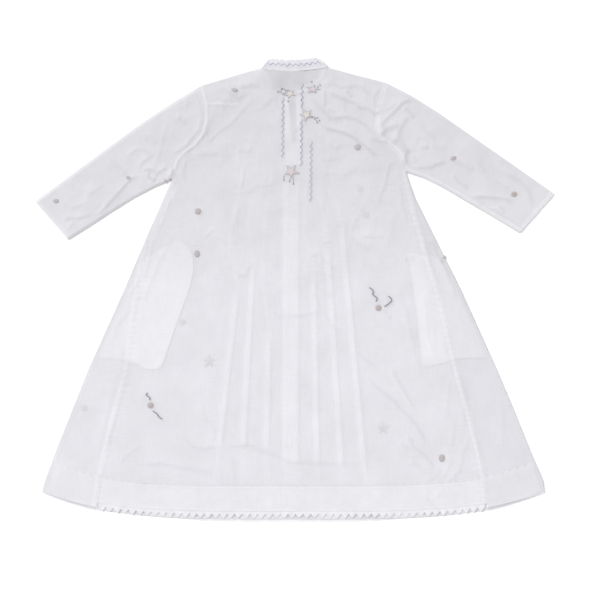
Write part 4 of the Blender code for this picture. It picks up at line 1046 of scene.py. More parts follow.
def gore_half(side, seam, lowest, lift, first_down, shares):
    """Half a gore in plan: from its seam out to the side edge, down to its hem curve."""
    hem = float(hem_down(seam[-1][0] * MM, lowest, lift))
    downs = np.linspace(first_down, hem, GORE_ROWS)
    edge_downs = np.linspace(first_down, GORE_CORNER_DOWN, GORE_ROWS)
    inner = np.stack([edge_x(seam, downs), downs], axis=1)
    outer = np.stack([edge_x(side, edge_downs), edge_downs], axis=1)
    u = shares[:, None]
    top = inner[0] + u * (outer[0] - inner[0])
    bottom = inner[-1] + u * (outer[-1] - inner[-1])
    curve = hem_down(bottom[:, 0], lowest, lift)
    bottom[:, 1] = curve + shares * (outer[-1, 1] - curve[-1])
    return patch(top, bottom, inner, outer, shares)


# strip is 1 where a strip beside the edge shows as one layer; that strip is painted darker, as the
# shade of the folded edge
for name, node, side, back_seam, front_seam, first_down, strip in (
    ("gore_of_voile_left", "gore_left", LEFT_SIDE, BACK_LEFT_SEAM, FRONT_LEFT_SEAM, 332 * MM, 0),
    ("gore_of_voile_right", "gore_right", RIGHT_SIDE, BACK_RIGHT_SEAM, FRONT_RIGHT_SEAM,
     229.5 * MM, 1),
):
    shares = np.sin(np.pi / 2 * np.linspace(0, 1, GORE_COLUMNS))
    gore_hem = BACK_HEM_DOWN + GORE_HEM_DROP
    upper = gore_half(side, back_seam, gore_hem, BACK_HEM_LIFT, first_down, shares)
    lower = gore_half(side, front_seam, FRONT_HEM_DOWN, FRONT_HEM_LIFT, first_down, shares)
    x, down = upper[..., 0], upper[..., 1]
    # The creases' shade is painted into the gore's colour, as on the back
    relief, painted_crease_shade = creases(x, down)
    banded = seam_bands(x, down)
    high = BACK_Z + HEM_STEP * smooth_step(down, HEM_STEP_FROM, HEM_STEP_TO) + relief
    high += crumple(x, down) + wrinkles(x, down) + pucker(x, down, back_seam)
    high += SEAM_RISE * banded
    if side is LEFT_SIDE:
        high = JOINED_Z + (high - JOINED_Z) * smooth_step(down, first_down, LEFT_GORE_TOP)
    half = (high - FRONT_Z) / 2
    width = np.abs(x[:, -1:] - x[:, :1])
    round_share = round_edge((1 - shares)[None] * width, half[:, -1:])
    upper_z = FRONT_Z + half * (1 + round_share)
    lower_z = FRONT_Z + half[:, -1:] * (1 - round_share)
    plan = np.concatenate([upper, lower[:, -2::-1]], axis=1)
    z = np.concatenate([upper_z, lower_z[:, -2::-1]], axis=1)
    near, painted_crease_darkening, covered = (
        np.concatenate([mark, np.zeros(x.shape)[:, 1:]], axis=1)
        for mark in (np.ones(x.shape), CREASE_SHADE * painted_crease_shade, SEAM_COVER * banded)
    )
    x, down = plan[..., 0], plan[..., 1]
    # Beside the edge the cloth is painted darker and more opaque: painted shade of the folded edge
    aged = strip * (1 - smooth_step(np.abs(x - edge_x(side, down)), *EDGE_STRIP)) ** 1.5
    aged = STRIP_SHADE * aged * smooth_step(down, *STRIP_FROM)
    aged = aged * (1 - smooth_step(down, *STRIP_TO))
    marks = {
        "plies": (BACK_PLIES - STRIP_PLIES * strip + STRIP_LIGHT * aged) * near - painted_crease_darkening,
        "cover": 1 + (VOILE_COVER - 1) * near * (1 - aged) + covered * (1 - aged),
        "aged": aged,
    }
    way = -1 if side is LEFT_SIDE else 1
    points = at(x, down, z)[:, ::way]
    marks = {mark: values[:, ::way] for mark, values in marks.items()}
    gore = make_piece(name, [points], body_voile, **marks)
    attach(gore, "root")
    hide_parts(node)

# ---------------------------------------------------------------------------
# The back hem facing: a band of lawn inside the back hem. Below the hem its edge
# is folded into a row of small points, which hang in front of the longer front.

BACK_FACING_Z = 3.0 * MM
BACK_FACING_DEPTH, BACK_FACING_INSET = 50 * MM, 2 * MM
BACK_FACING_ENDS = (842, 890)
TOOTH_BAND, TOOTH_DEPTH, TOOTH_COLUMNS = 5 * MM, 9.5 * MM, 8
TOOTH_SHORTEST, TOOTH_VARIES, TOOTH_LEAN, TOOTH_PUFF = 0.85, 0.25, 2 * MM, 1.2 * MM
POINT_SINK, POINT_ROUNDNESS = 0.2 * MM, 0.8
hem_lawn = lawn("white_cotton_lawn_points", colour="DBDADE", deep="D3D2D6")

ends = facing_ends((BACK_LEFT_SEAM, BACK_RIGHT_SEAM), BACK_FACING_ENDS, BACK_FACING_INSET)
teeth = int(round((ends[1][1] - ends[1][0]) / TOOTH_PITCH))
top_x, low_x = (np.linspace(*pair, TOOTH_COLUMNS * teeth + 1) for pair in ends)
pitch = (low_x[-1] - low_x[0]) / teeth
point_share = zigzag(low_x, low_x[0], pitch)
top_down = hem_down(top_x, BACK_HEM_DOWN, BACK_HEM_LIFT) - BACK_FACING_DEPTH
root_down = hem_down(low_x, BACK_HEM_DOWN, BACK_HEM_LIFT) + TOOTH_BAND
v = np.linspace(0, 1, 9)[:, None]
band_x, band_down = top_x + v * (low_x - top_x), top_down + v * (root_down - top_down)
v = np.linspace(0, 1, 5)[1:, None]
tooth = np.clip(((low_x - low_x[0]) / pitch).astype(int), 0, teeth - 1)
long, lean, lift = rng.uniform(size=(3, teeth))
depth = TOOTH_DEPTH * (TOOTH_SHORTEST + TOOTH_VARIES * long[tooth])
point_down = root_down + v * depth * point_share**POINT_ROUNDNESS
x = np.vstack([band_x, low_x + v * point_share * TOOTH_LEAN * (lean[tooth] - 0.5)])
down = np.vstack([band_down, point_down])
past_hem = smooth_step(down - hem_down(x, BACK_HEM_DOWN, BACK_HEM_LIFT), 0, TOOTH_BAND)
puffed = past_hem * point_share * TOOTH_PUFF * (lift[tooth] - 0.5)
sunk = POINT_SINK * smooth_step(down - root_down, -TOOTH_BAND, TOOTH_DEPTH)
back_facing = make_piece(
    "back_hem_facing_lawn",
    [at(x, down, BACK_FACING_Z + puffed - sunk)],
    hem_lawn,
    doubled=0.15 * (1 - past_hem),
)
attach(back_facing, "root")
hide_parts("back_hem_facing")

# ---------------------------------------------------------------------------
# The sleeves: a tube of voile each, sewn into the armhole and laid flat, with a
# narrow turned hem at the cuff.

SLEEVE_ROWS, SLEEVE_COLUMNS = 120, 64
LEFT_CUFF = [(-521, 287), (-454, 364)]
RIGHT_CUFF = [(518, 272.3), (448, 350.3)]
LEFT_BOW = [(0, 0), (0.15, 4.5), (0.35, 6.5), (0.6, 4.3), (0.8, 1.5), (1, 0)]
RIGHT_BOW = [(0, 0), (0.15, 6.5), (0.3, 7.8), (0.5, 5.5), (0.75, 3.0), (1, 0)]
CUFF_HEM, CUFF_RISE, CUFF_ROWS, CUFF_STEPS = 6 * MM, 0.15 * MM, 5, (0.003, 0.004)
SLEEVE_EDGE_SHARE, SLEEVE_EDGE_REACH, SLEEVE_ROUNDING = 0.4, 6 * MM, 1.6 * MM
SLEEVE_COVER, SLEEVE_PLIES, SLEEVE_BAND, CUFF_COVER = 0.72, 0.5, 0.09, 0.77
sleeve_voile = voile("white_cotton_voile_sleeve", thin="D9D8DC", thick="E5E4E8", shade_colour="BEBDC1")


def sleeve_height(x, down):
    """The sleeve's upper wall: its rest height with folds and waves, lower at the shoulder."""
    near_tip = smooth_step(below_shoulders(x, down), 0, TAPER)
    relief = creases(x, down)[0] + crumple(x, down) + wrinkles(x, down)
    return JOINED_Z + (BACK_Z + relief - JOINED_Z) * near_tip


def tube(upper, lower):
    """Once round a flat tube: the upper wall one way and the lower wall back."""
    return np.concatenate([upper, lower[:, -2:0:-1]], axis=1)


for name, node, armhole, cuff, bows, way in (
    ("sleeve_of_voile_left", "sleeve_left", LEFT_ARMHOLE, LEFT_CUFF, LEFT_BOW, 1),
    ("sleeve_of_voile_right", "sleeve_right", RIGHT_ARMHOLE, RIGHT_CUFF, RIGHT_BOW, -1),
):
    shares = (1 - np.cos(np.pi * np.linspace(0, 1, SLEEVE_COLUMNS))) / 2
    seam = smooth_line(armhole, shares)
    end = np.array(cuff[0]) * MM + (np.array(cuff[1]) - cuff[0]) * MM * shares[:, None]
    outwards = end.mean(axis=0) - seam.mean(axis=0)
    length = np.hypot(*outwards)
    outwards /= length
    upwards = np.array([abs(outwards[1]) * np.sign(outwards[0]), -abs(outwards[0])])
    hem_at = 1 - CUFF_HEM / length
    s = np.concatenate([
        np.linspace(0, hem_at - CUFF_STEPS[0], SLEEVE_ROWS), [hem_at],
        np.linspace(hem_at + CUFF_STEPS[1], 1, CUFF_ROWS),
    ])
    bow = np.interp(s, *np.array(bows).T) * MM
    plan = seam[None] + (end - seam)[None] * s[:, None, None]
    plan = plan + upwards * bow[:, None, None]
    x, down = plan[..., 0], plan[..., 1]
    in_hem = (s >= hem_at)[:, None] * np.ones(x.shape)
    high = sleeve_height(x, down) + CUFF_RISE * in_hem
    across = lengths_along(plan)
    from_edge = np.minimum(across, across[:, -1:] - across)
    inward = smooth_step(from_edge, 0, SLEEVE_EDGE_REACH)
    thinner = SLEEVE_EDGE_SHARE + (1 - SLEEVE_EDGE_SHARE) * inward
    half = (high - FRONT_Z) / 2 * thinner
    round_share = round_edge(from_edge, SLEEVE_ROUNDING)
    edge_half = np.where(shares < 0.5, half[:, :1], half[:, -1:])
    z = tube(FRONT_Z + half * (1 + round_share), FRONT_Z + edge_half * (1 - round_share))
    near, none = np.ones(x.shape), np.zeros(x.shape)
    cover = 1 + (SLEEVE_COVER - 1) * tube(near, none)
    cover += SLEEVE_BAND * tube(seam_bands(x, down), none)
    # Along the creases the sleeve is painted darker, twice as much as the back, as their shade
    plies = tube(SLEEVE_PLIES - 2 * CREASE_SHADE * creases(x, down)[1], none)
    ring = tube(plan, plan)
    points = at(ring[..., 0], ring[..., 1], z)
    sleeve = make_piece(
        name, [points[:, ::way]], sleeve_voile, closed=True,
        plies=plies[:, ::way],
        cover=np.maximum(cover, CUFF_COVER * tube(in_hem, in_hem))[:, ::way],
    )
    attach(sleeve, "root")
    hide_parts(node)

# ---------------------------------------------------------------------------
# The collar: a short standing band of lawn sewn round the neck, its free edge cut
# in small scallops. Laid flat, the back half shows and the front half is under it.

COLLAR_DEPTH, BACK_COLLAR_DEPTH = 20 * MM, 21.7 * MM
SCALLOP_PITCH, SCALLOP_DEPTH = 13.5 * MM, 2.4 * MM
COLLAR_LOW_Z, COLLAR_HIGH_Z = 1.3 * MM, 4.2 * MM
COLLAR_ROWS, COLLAR_TURN_POINTS = 9, 9
COLLAR_BULGE, COLLAR_WAVER, COLLAR_SINK = 0.8 * MM, 0.35 * MM, 0.8 * MM
COLLAR_TURNED, COLLAR_DOUBLED = (0.72, 0.88), 0.55
collar_lawn = lawn("white_cotton_collar_band", colour="D2D1D6", deep="C6C5CB")
NECK_LEANS = [
    (0.63, -0.77), (0.2, -0.97), (0.05, -1), (0, -1), (-0.06, -1), (-0.25, -0.96), (-0.75, -0.66),
]
FRONT_LEFT_LEANS = [(0, -1), (0.15, -0.95), (0.63, -0.77)]
FRONT_RIGHT_LEANS = [(0, -1), (-0.18, -0.95), (-0.75, -0.66)]


def band(line, leans, depth, count, phase):
    """Seam and free edge of a stretch of collar: the free edge stands off by depth and scallops.

    The scallops are the size of a sine of the distance along the seam. Two slower sines
    move them along, and a third makes some of them deeper.
    """
    shares = np.linspace(0, 1, count)
    seam = smooth_line(line, shares)
    along = lengths_along(seam)
    known = np.linspace(0, 1, len(leans))
    lean = np.stack([np.interp(shares, known, column) for column in np.array(leans).T], axis=-1)
    lean /= np.hypot(*lean.T)[:, None]
    wobble = 0.8 * np.sin(along / (17 * MM)) + 0.5 * np.sin(along / (6.1 * MM) + 1)
    turn = np.pi * along / SCALLOP_PITCH + phase + wobble
    scallop = SCALLOP_DEPTH * (np.abs(np.sin(turn)) - 0.5)
    scallop *= 0.8 + 0.5 * np.sin(along / (23 * MM) + phase)
    return seam, seam + lean * (depth + scallop)[:, None]


# Round the neck: the front's left half, the back, and the front's right half
stretches = [
    band(FRONT_NECK_LEFT[::-1], FRONT_LEFT_LEANS, COLLAR_DEPTH, 70, 0.4),
    band(BACK_NECK, NECK_LEANS, BACK_COLLAR_DEPTH, 190, 1.1),
    band(FRONT_NECK_RIGHT[::-1], FRONT_RIGHT_LEANS[::-1], COLLAR_DEPTH, 70, 0.2),
]
seams, frees, heights = [], [], []
middle_z, half_z = (COLLAR_LOW_Z + COLLAR_HIGH_Z) / 2, (COLLAR_HIGH_Z - COLLAR_LOW_Z) / 2
turn = np.radians(np.linspace(-90, 90, COLLAR_TURN_POINTS))
for index, (seam, free) in enumerate(stretches):
    seams.append(seam), frees.append(free)
    heights.append(np.full(len(seam), COLLAR_HIGH_Z if index == 1 else COLLAR_LOW_Z))
    if index < 2:
        side = 2 * index - 1
        at_seam, at_free = (edge[-index] for edge in stretches[1])
        swing = np.stack([side * half_z * np.cos(turn), 0 * turn], axis=1)
        seams.append(at_seam + swing), frees.append(at_free + swing)
        heights.append(middle_z - side * half_z * np.sin(turn))
seam, free, height = np.vstack(seams), np.vstack(frees), np.concatenate(heights)
v = np.linspace(0, 1, COLLAR_ROWS)[:, None, None]
plan = free[None] + v * (seam - free)[None]
bulge = COLLAR_BULGE * np.sin(np.pi * v[..., 0]) * np.sign(height - middle_z)[None]
wave = COLLAR_WAVER * np.sin(np.arange(len(seam)) / 9.0)[None] * (1 - v[..., 0])
z = height[None] + np.maximum(bulge, 0)
z += (height > middle_z) * (wave - v[..., 0] ** 3 * COLLAR_SINK)
turned_in = smooth_step(v[..., 0], *COLLAR_TURNED) * np.ones(z.shape)
collar = make_piece(
    "collar_of_lawn", [at(plan[..., 0], plan[..., 1], z)], collar_lawn,
    doubled=COLLAR_DOUBLED * turned_in,
)
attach(collar, "root")
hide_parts("collar_stand")

# ---------------------------------------------------------------------------
# The stitches: the felled seams, the hems and the facings are held by a row of small
# machine stitches in white cotton thread.

STITCH_LENGTH, STITCH_PITCH, STITCH_RADIUS = 2.6 * MM, 3.8 * MM, 0.24 * MM
STITCH_RINGS, STITCH_SIDES = 4, 6
STITCH_FLATNESS, STITCH_THINNING, STITCH_LIFT = 0.6, 0.75, 0.05 * MM
HEM_ROW_ENDS, HEM_ROW_UP, FACING_ROW_DOWN = (-396, 381), 3.5, 3
CUFF_ROW_SLANT, CUFF_ROW_UP = -0.87, 5.4


def cotton_thread(name, colour, dark):
    """Mercerised cotton thread: two plies twisted and a little glossy, so it catches light.

    The twist of a sewing thread is 0.4 mm long and is drawn at 1.1 mm.
    """
    material, tree, shader = start_material(name)
    along = add_node(tree, "UVMap", uv_map="cloth").outputs["UV"]
    turned = add_node(tree, "Mapping", {"Vector": along, "Rotation": (0.0, 0.0, 0.7)})
    twist = add_node(
        tree, "TexWave",
        {"Vector": turned.outputs["Vector"], "Scale": BAND_SCALE / (1.1 * MM), "Distortion": 1.0},
    )
    mottle = add_node(
        tree, "TexNoise",
        {"Vector": add_node(tree, "TexCoord").outputs["Object"], "Scale": 420.0, "Detail": 2.0},
    )
    both = add_node(
        tree, "Math", {0: twist.outputs["Fac"], 1: mottle.outputs["Fac"]}, operation="MULTIPLY"
    )
    mixed = add_node(
        tree, "Mix", {0: both.outputs[0], 6: linear(dark), 7: linear(colour)}, data_type="RGBA"
    )
    bump = add_node(
        tree, "Bump", {"Height": twist.outputs["Fac"], "Strength": 0.5, "Distance": 0.0002}
    )
    finish_shader(
        tree, shader, mixed.outputs[2], bump,
        {"Roughness": 0.55, "Specular IOR Level": 0.4, "Sheen Weight": 0.2},
    )
    return material


white_thread = cotton_thread("white_cotton_sewing_thread", colour="FFFFFF", dark="EDECF0")


def unit(steps):
    """Each step divided by its length."""
    return steps / np.linalg.norm(steps, axis=-1)[..., None]


def right_of(path):
    """The direction to the right of a path at each of its points, one unit long."""
    ahead = unit(np.gradient(path, axis=0))
    return np.stack([ahead[:, 1], -ahead[:, 0]], axis=1)


def stitches(line, offset, height_of):
    """Short humped threads in a row: a half sine high and thinner towards both ends."""
    total = lengths_along(np.array(line, float) * MM)[-1]
    path = smooth_line(line, np.linspace(0, 1, max(int(total / STITCH_PITCH) * 4, 8)))
    path = path + right_of(path) * offset
    along = lengths_along(path)
    middles = np.arange(STITCH_PITCH / 2, along[-1], STITCH_PITCH)
    v = np.linspace(-0.5, 0.5, STITCH_RINGS)
    place = middles[:, None] + v[None] * STITCH_LENGTH
    x, down = (np.interp(place, along, column) for column in path.T)
    ahead = unit(np.stack([x[:, -1] - x[:, 0], down[:, -1] - down[:, 0]], axis=-1))
    turn = np.linspace(0, 2 * np.pi, STITCH_SIDES, endpoint=False)
    thick = STITCH_RADIUS * (1 - STITCH_THINNING * (2 * v) ** 2)[:, None]
    out, up = thick * np.cos(turn), STITCH_FLATNESS * thick * np.sin(turn)
    x = x[..., None] - ahead[:, None, None, 1] * out
    down = down[..., None] + ahead[:, None, None, 0] * out
    lift = STITCH_LIFT * np.cos(np.pi * v)[None, :, None]
    z = height_of(x[..., :1], down[..., :1]) + lift + up
    return at(x, down, z)[..., ::-1, :]


left_gore_seam = [(x, down) for x, down in BACK_LEFT_SEAM if down > 320]
hem_line = [
    (x, float(hem_down(x * MM, BACK_HEM_DOWN, BACK_HEM_LIFT)) / MM)
    for x in np.linspace(*HEM_ROW_ENDS, 24)
]
facing_up = BACK_FACING_DEPTH / MM - FACING_ROW_DOWN
facing_line = [(x, down - facing_up) for x, down in hem_line[1:-1]]
hem_row = [(x, down - HEM_ROW_UP) for x, down in hem_line]
cuff_rows = [
    (np.array(cuff) + np.array([way, CUFF_ROW_SLANT]) * CUFF_ROW_UP)[::way].tolist()
    for cuff, way in ((LEFT_CUFF, 1), (RIGHT_CUFF, -1))
]
rows = [
    stitches(line, aside * MM, height_of)
    for line, aside, height_of in (
        (left_gore_seam, -5.5, back_height),
        (BACK_RIGHT_SEAM, -5.5, back_height),
        (LEFT_ARMHOLE, 1.5, back_height),
        (RIGHT_ARMHOLE, 1.5, sleeve_height),
        (facing_line, 0, back_height),
        (hem_row, 0, back_height),
        (cuff_rows[0], 0, sleeve_height),
        (cuff_rows[1], 0, sleeve_height),
    )
]
sewn = make_piece("machine_stitches", rows, white_thread, closed=True, capped=True)
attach(sewn, "root")

# ---------------------------------------------------------------------------
# The embroidery: worked by hand in cotton floss on the outside of the back and the
# sleeves. Stars and round spots are filled in satin stitch, the long wavy lines are
# chain stitch in lavender, and the tails and curls are couched cords.

STAR_INNER, STAR_SIDE_STEPS, PAD_RINGS, PAD_MIDDLE = 0.40, 4, 7, 0.04
STAR_HEIGHT, SPOT_HEIGHT, KNOT_HEIGHT, BEAD_HEIGHT = 0.5 * MM, 0.7 * MM, 1.1 * MM, 1.0 * MM
WAVE_LENGTH, WAVE_SWING, WAVE_POINTS = 12 * MM, 1.9 * MM, 18
COLLAR_WAVE_LENGTH, COLLAR_WAVE_SWING, COLLAR_WAVE_RADIUS = 11.4 * MM, 2.3 * MM, 0.48 * MM
COLLAR_WAVE_AT, COLLAR_WAVE_LIFT = 0.56, 0.75 * MM
CHAIN_RADIUS, CHAIN_LINK, LINK_SWELL = 0.46 * MM, 3 * MM, 0.35
KNOT_WIDE, BEAD_WIDE, BEAD_TALL, FAR_SPOT_WIDE = 1.6, 0.9, 1.3, 6
CORD_TIP, CORD_SWELL, CORD_LIFT = 0.4, 0.3, 0.6
SLEEVES_END, LEFT_PAST, RIGHT_PAST, RIGHT_FROM = 360 * MM, 12 * MM, 2 * MM, 225 * MM
TAIL_RADIUS, CURL_RADIUS, RIM_RADIUS = 1.1 * MM, 0.462 * MM, 0.17 * MM
FAR_HEIGHT, FAR_Z, EDGE_Z = 0.3 * MM, 1.3 * MM, 2.6 * MM
Star = namedtuple("Star", "x down hue tips")
Spot = namedtuple("Spot", "x down wide tall turn hue")
STARS = [
    Star(-11, 71.9, 0.0, [(-15.2, 63.5), (-2.5, 65.9), (0.6, 75.7), (-14.5, 81.5), (-25, 75.1)]),
    Star(34.8, 62.9, 1.0, [(37.6, 53.5), (49.8, 63.5), (41.8, 70.5), (24.2, 70.5), (22, 59)]),
    Star(22.4, 114.3, 0.2, [
        (15.4, 103.9), (31.4, 104.9), (35.8, 119.9), (18.8, 127.5), (7.4, 113.9),
    ]),
    Star(-9, 227.7, 0.75, [(-17, 216), (0.4, 215.5), (9, 231.7), (-7.6, 240.9), (-21.8, 233.7)]),
]
SPOTS = [
    Spot(-122, 64.5, 7, 3.6, 0.2, 0.1),
    Spot(124, 178.5, 6.2, 6.2, 0, 0.2),
    Spot(-195.4, 307.1, 6.2, 6.2, 0, 0.8),
    Spot(-197, 392.1, 5.4, 6.6, 0, 0.3),
    Spot(165.6, 499.9, 6.2, 6.2, 0, 0.9),
    Spot(-290, 695.1, 6.2, 6.2, 0, 0.8),
    Spot(292.6, 800.5, 6, 7.2, 0, 0.5),
]
SLEEVE_SPOTS = [
    Spot(315.6, 200.9, 6.2, 4.4, -0.3, 0.9),
    Spot(437, 272.9, 6.6, 5.4, 0, 1.0),
    Spot(-479, 286.5, 6, 4.4, 0, 0.1),
    Spot(-334.4, 239.9, 4.6, 3.6, 0.5, 0.1),
    Spot(-260, 246.5, 2.4, 4.2, -0.6, 0.4),
    Spot(-251, 242.5, 3.4, 2.4, 0.5, 0.5),
]
EDGE_SPOT = Spot(295.6, 402.1, 7.6, 3.2, -1.02, 0.7)
KNOTS = [
    (-27, 61.5), (-34.8, 68.5), (-15, 87.1), (32.4, 47.9), (48.8, 54.5), (44.6, 58.3),
    (38.8, 121.9), (43.2, 119.9), (47.8, 125.5), (43.4, 129.5), (-23, 244.7), (-11.8, 247.4),
    (-4.2, 252.2),
]
WAVY_LINES = [
    [(-25.2, 80), (-25.8, 200.3)],
    [(13.2, 51.7), (12.6, 102.5)],
    [(11.8, 121.7), (11.4, 217.3)],
    [(31.2, 167.3), (30.6, 288.5)],
]
TAILS = [
    [(147.4, 459.3), (152.4, 462.7), (155.8, 467.7), (153.8, 471.9), (158, 476.7), (162.8, 480.3),
     (160.6, 487.3)],
    [(185.2, 476.7), (190.2, 480.3), (191.6, 485.9), (186, 491.5), (177.6, 497.7)],
    [(-296.4, 670.1), (-298.4, 674.9), (-292.2, 679.1), (-291.4, 684.9)],
    [(-285.8, 705.7), (-277.4, 711.9), (-273.2, 718.3), (-266.2, 722.5)],
]
CURLS = [
    [(-29.5, 66), (-27, 62.6), (-22, 63), (-19.4, 67), (-21.5, 71.5), (-26.5, 72), (-29.6, 68.5),
     (-33, 66)],
    [(-19.4, 67), (-15, 65), (-12, 69)],
    [(26, 117), (32, 118), (37, 117.6)],
    [(38, 118), (40, 124), (44, 127)],
    [(-21.8, 235.5), (-24, 240), (-23, 243.5)],
    [(-10, 241), (-11, 244), (-11.8, 246.4)],
    [(-5, 239), (-4, 246), (-4.4, 251)],
]
FAR_SPOTS = [
    (-300, 160.5), (-237, 409.5), (-226, 528.5), (129, 261.5), (141, 314.5),
    (227, 402.5), (-423, 700.5),
]
FAR_STARS = [(-173, 606.5), (175, 740.5)]


def satin_floss(name, near, far, edge):
    """Six-strand cotton floss in satin stitch: close parallel strands with a soft gloss.

    hue moves the middle from one thread to the other, and out greys it towards the rim.
    The strands are 0.5 mm wide and drawn at 1.3 mm.
    """
    material, tree, shader = start_material(name)
    place = add_node(tree, "TexCoord").outputs["Object"]
    hue, out = (
        add_node(tree, "Attribute", attribute_name=mark).outputs["Fac"] for mark in ("hue", "out")
    )
    turned = add_node(tree, "Mapping", {"Vector": place, "Rotation": (0.0, 0.0, 0.35)})
    strands = add_node(
        tree, "TexWave",
        {"Vector": turned.outputs["Vector"], "Scale": BAND_SCALE / (1.3 * MM), "Distortion": 2.0,
         "Detail": 2.0},
    )
    thread = add_node(
        tree, "Mix", {0: hue, 6: linear(near), 7: linear(far)}, data_type="RGBA"
    ).outputs[2]
    rim = add_node(tree, "MapRange", {"Value": out, "From Min": 0.25, "From Max": 0.95})
    thread = add_node(
        tree, "Mix", {0: rim.outputs[0], 6: thread, 7: linear(edge)}, data_type="RGBA"
    ).outputs[2]
    # the strands' gloss is painted into the colour as lighter and darker bands: a painted sheen
    gloss = add_node(
        tree, "MapRange", {"Value": strands.outputs["Fac"], "To Min": 0.62, "To Max": 1.12}
    )
    shaded = add_node(tree, "VectorMath", {0: thread, 1: gloss.outputs[0]}, operation="MULTIPLY")
    bump = add_node(
        tree, "Bump", {"Height": strands.outputs["Fac"], "Strength": 0.6, "Distance": 0.0003}
    )
    finish_shader(
        tree, shader, shaded.outputs["Vector"], bump,
        {"Roughness": 0.5, "Specular IOR Level": 0.4, "Sheen Weight": 0.2},
    )
    return material


star_floss, spot_floss, far_floss = (
    satin_floss(name, near, far, edge)
    for name, near, far, edge in (
        ("beige_and_rose_cotton_floss", "DCD2C6", "D4C5C8", "C6C3CA"),
        ("grey_and_rose_brown_cotton_floss", "B9B5B2", "B8A5A0", "B9B5BA"),
        ("floss_on_the_far_side", "C3C0C5", "C5BCBE", "C7C5CA"),
    )
)
lavender_thread = cotton_thread("lavender_cotton_thread", colour="C4C5D3", dark="9FA1B6")
violet_thread = cotton_thread("grey_violet_cotton_thread", colour="A7A6B8", dark="88879C")
grey_thread = cotton_thread("warm_grey_cotton_cord", colour="A9A4AC", dark="878089")


def pads(centres, outlines, height, height_of):
    """Raised closed pads: rings from the middle out to an outline, domed by a quarter circle.

    outlines is (pads, sides, 2), in metres about each centre, counter-clockwise from above.
    """
    share = np.linspace(PAD_MIDDLE, 1, PAD_RINGS)
    plan = np.asarray(centres)[:, None, None] + share[None, :, None, None] * outlines[:, None]
    rise = height * np.sqrt(1 - share**2)[None, :, None]
    z = height_of(plan[..., 0], plan[..., 1]) + rise
    out = np.broadcast_to(share[None, :, None], z.shape)
    return at(plan[..., 0], plan[..., 1], z), out


def round_outline(wide, tall, turn, sides=28, lobes=0.05):
    """An oval turned by an angle, with seven low lobes where the stitches bunch."""
    angle = -np.linspace(0, 2 * np.pi, sides, endpoint=False)
    swell = 1 + lobes * np.sin(7 * angle + turn * 5)
    x, down = wide * MM * np.cos(angle) * swell, tall * MM * np.sin(angle) * swell
    return np.stack(
        [x * np.cos(turn) - down * np.sin(turn), x * np.sin(turn) + down * np.cos(turn)], axis=-1
    )


def star_outline(centre, tips):
    """A star through its tips: each side runs straight to a corner part of the way out."""
    tips = (np.array(tips) - centre)[::-1] * MM
    inner = (tips + np.roll(tips, -1, axis=0)) / 2
    inner *= STAR_INNER * np.hypot(*tips.T).mean() / np.hypot(*inner.T)[:, None]
    corners = np.stack([tips, inner], axis=1).reshape(-1, 2)
    t = np.linspace(0, 1, STAR_SIDE_STEPS, endpoint=False)[None, :, None]
    sides = (np.roll(corners, -1, axis=0) - corners)[:, None]
    return (corners[:, None] + t * sides).reshape(-1, 2)


def floss_cord(path, radius, height_of, sides=8):
    """A closed tube of thread on the cloth along a path of x and down, thin at both ends."""
    from_end = np.minimum(np.arange(len(path)), np.arange(len(path))[::-1])
    radius = radius * np.minimum(1, CORD_TIP + from_end * CORD_SWELL)
    line = at(path[:, 0], path[:, 1], height_of(path[:, 0], path[:, 1]) + CORD_LIFT * radius)
    ahead = unit(np.gradient(line, axis=0))
    side = unit(np.cross(ahead, (0.0, 0.0, 1.0)))
    up = np.cross(side, ahead)
    turn = np.linspace(0, 2 * np.pi, sides, endpoint=False)[None, :, None]
    ring = side[:, None] * np.cos(turn) + up[:, None] * np.sin(turn)
    return line[:, None] + radius[:, None, None] * ring


def surface(x, down):
    """The cloth's upper side anywhere on the dress: the back, or a sleeve beyond its armhole."""
    on_left = x < edge_x(LEFT_SIDE, down) + LEFT_PAST
    on_right = (x > RIGHT_FROM) & (x > edge_x(RIGHT_SIDE, down) - RIGHT_PAST)
    on_sleeve = (down < SLEEVES_END) & (on_left | on_right)
    return np.where(on_sleeve, sleeve_height(x, down), back_height(x, down))


def level(z):
    """A height that is the same everywhere."""
    return lambda x, down: np.full(np.shape(x), z)


def pad_group(name, material, groups):
    """One piece from groups of (places, outlines, hues, height, the height under them)."""
    stacks, outs, hues = [], [], []
    for places, outlines, hue, height, height_of in groups:
        points, out = pads(np.array(places) * MM, np.array(outlines), height, height_of)
        stacks.append(points), outs.append(out.ravel())
        hues.append((np.array(hue)[:, None, None] * np.ones(out.shape)).ravel())
    return make_piece(
        name, stacks, material, closed=True, capped=True,
        out=np.concatenate(outs), hue=np.concatenate(hues),
    )


def spot_group(spots, height_of):
    """The places, outlines, hues and heights of a few spots."""
    outlines = [round_outline(spot.wide, spot.tall, spot.turn) for spot in spots]
    places, hues = [(spot.x, spot.down) for spot in spots], [spot.hue for spot in spots]
    return places, outlines, hues, SPOT_HEIGHT, height_of


def wavy_path(line, down):
    """Points at distances down on a wavy line: a sine about the straight line between its ends."""
    (x0, d0), (x1, d1) = line
    swing = WAVE_SWING * np.sin(2 * np.pi * (down - d0) / WAVE_LENGTH)
    return np.stack([x0 + (x1 - x0) * (down - d0) / (d1 - d0) + swing, down], axis=1)


star_places = [(star.x, star.down) for star in STARS]
star_outlines = [star_outline(place, star.tips) for place, star in zip(star_places, STARS)]
hues = [star.hue for star in STARS]
stars = pad_group(
    "satin_stitch_stars", star_floss, [(star_places, star_outlines, hues, STAR_HEIGHT, surface)]
)
spots = pad_group("satin_stitch_spots", spot_floss, [
    spot_group(SPOTS, surface), spot_group(SLEEVE_SPOTS, surface),
    spot_group([EDGE_SPOT], level(EDGE_Z)),
])

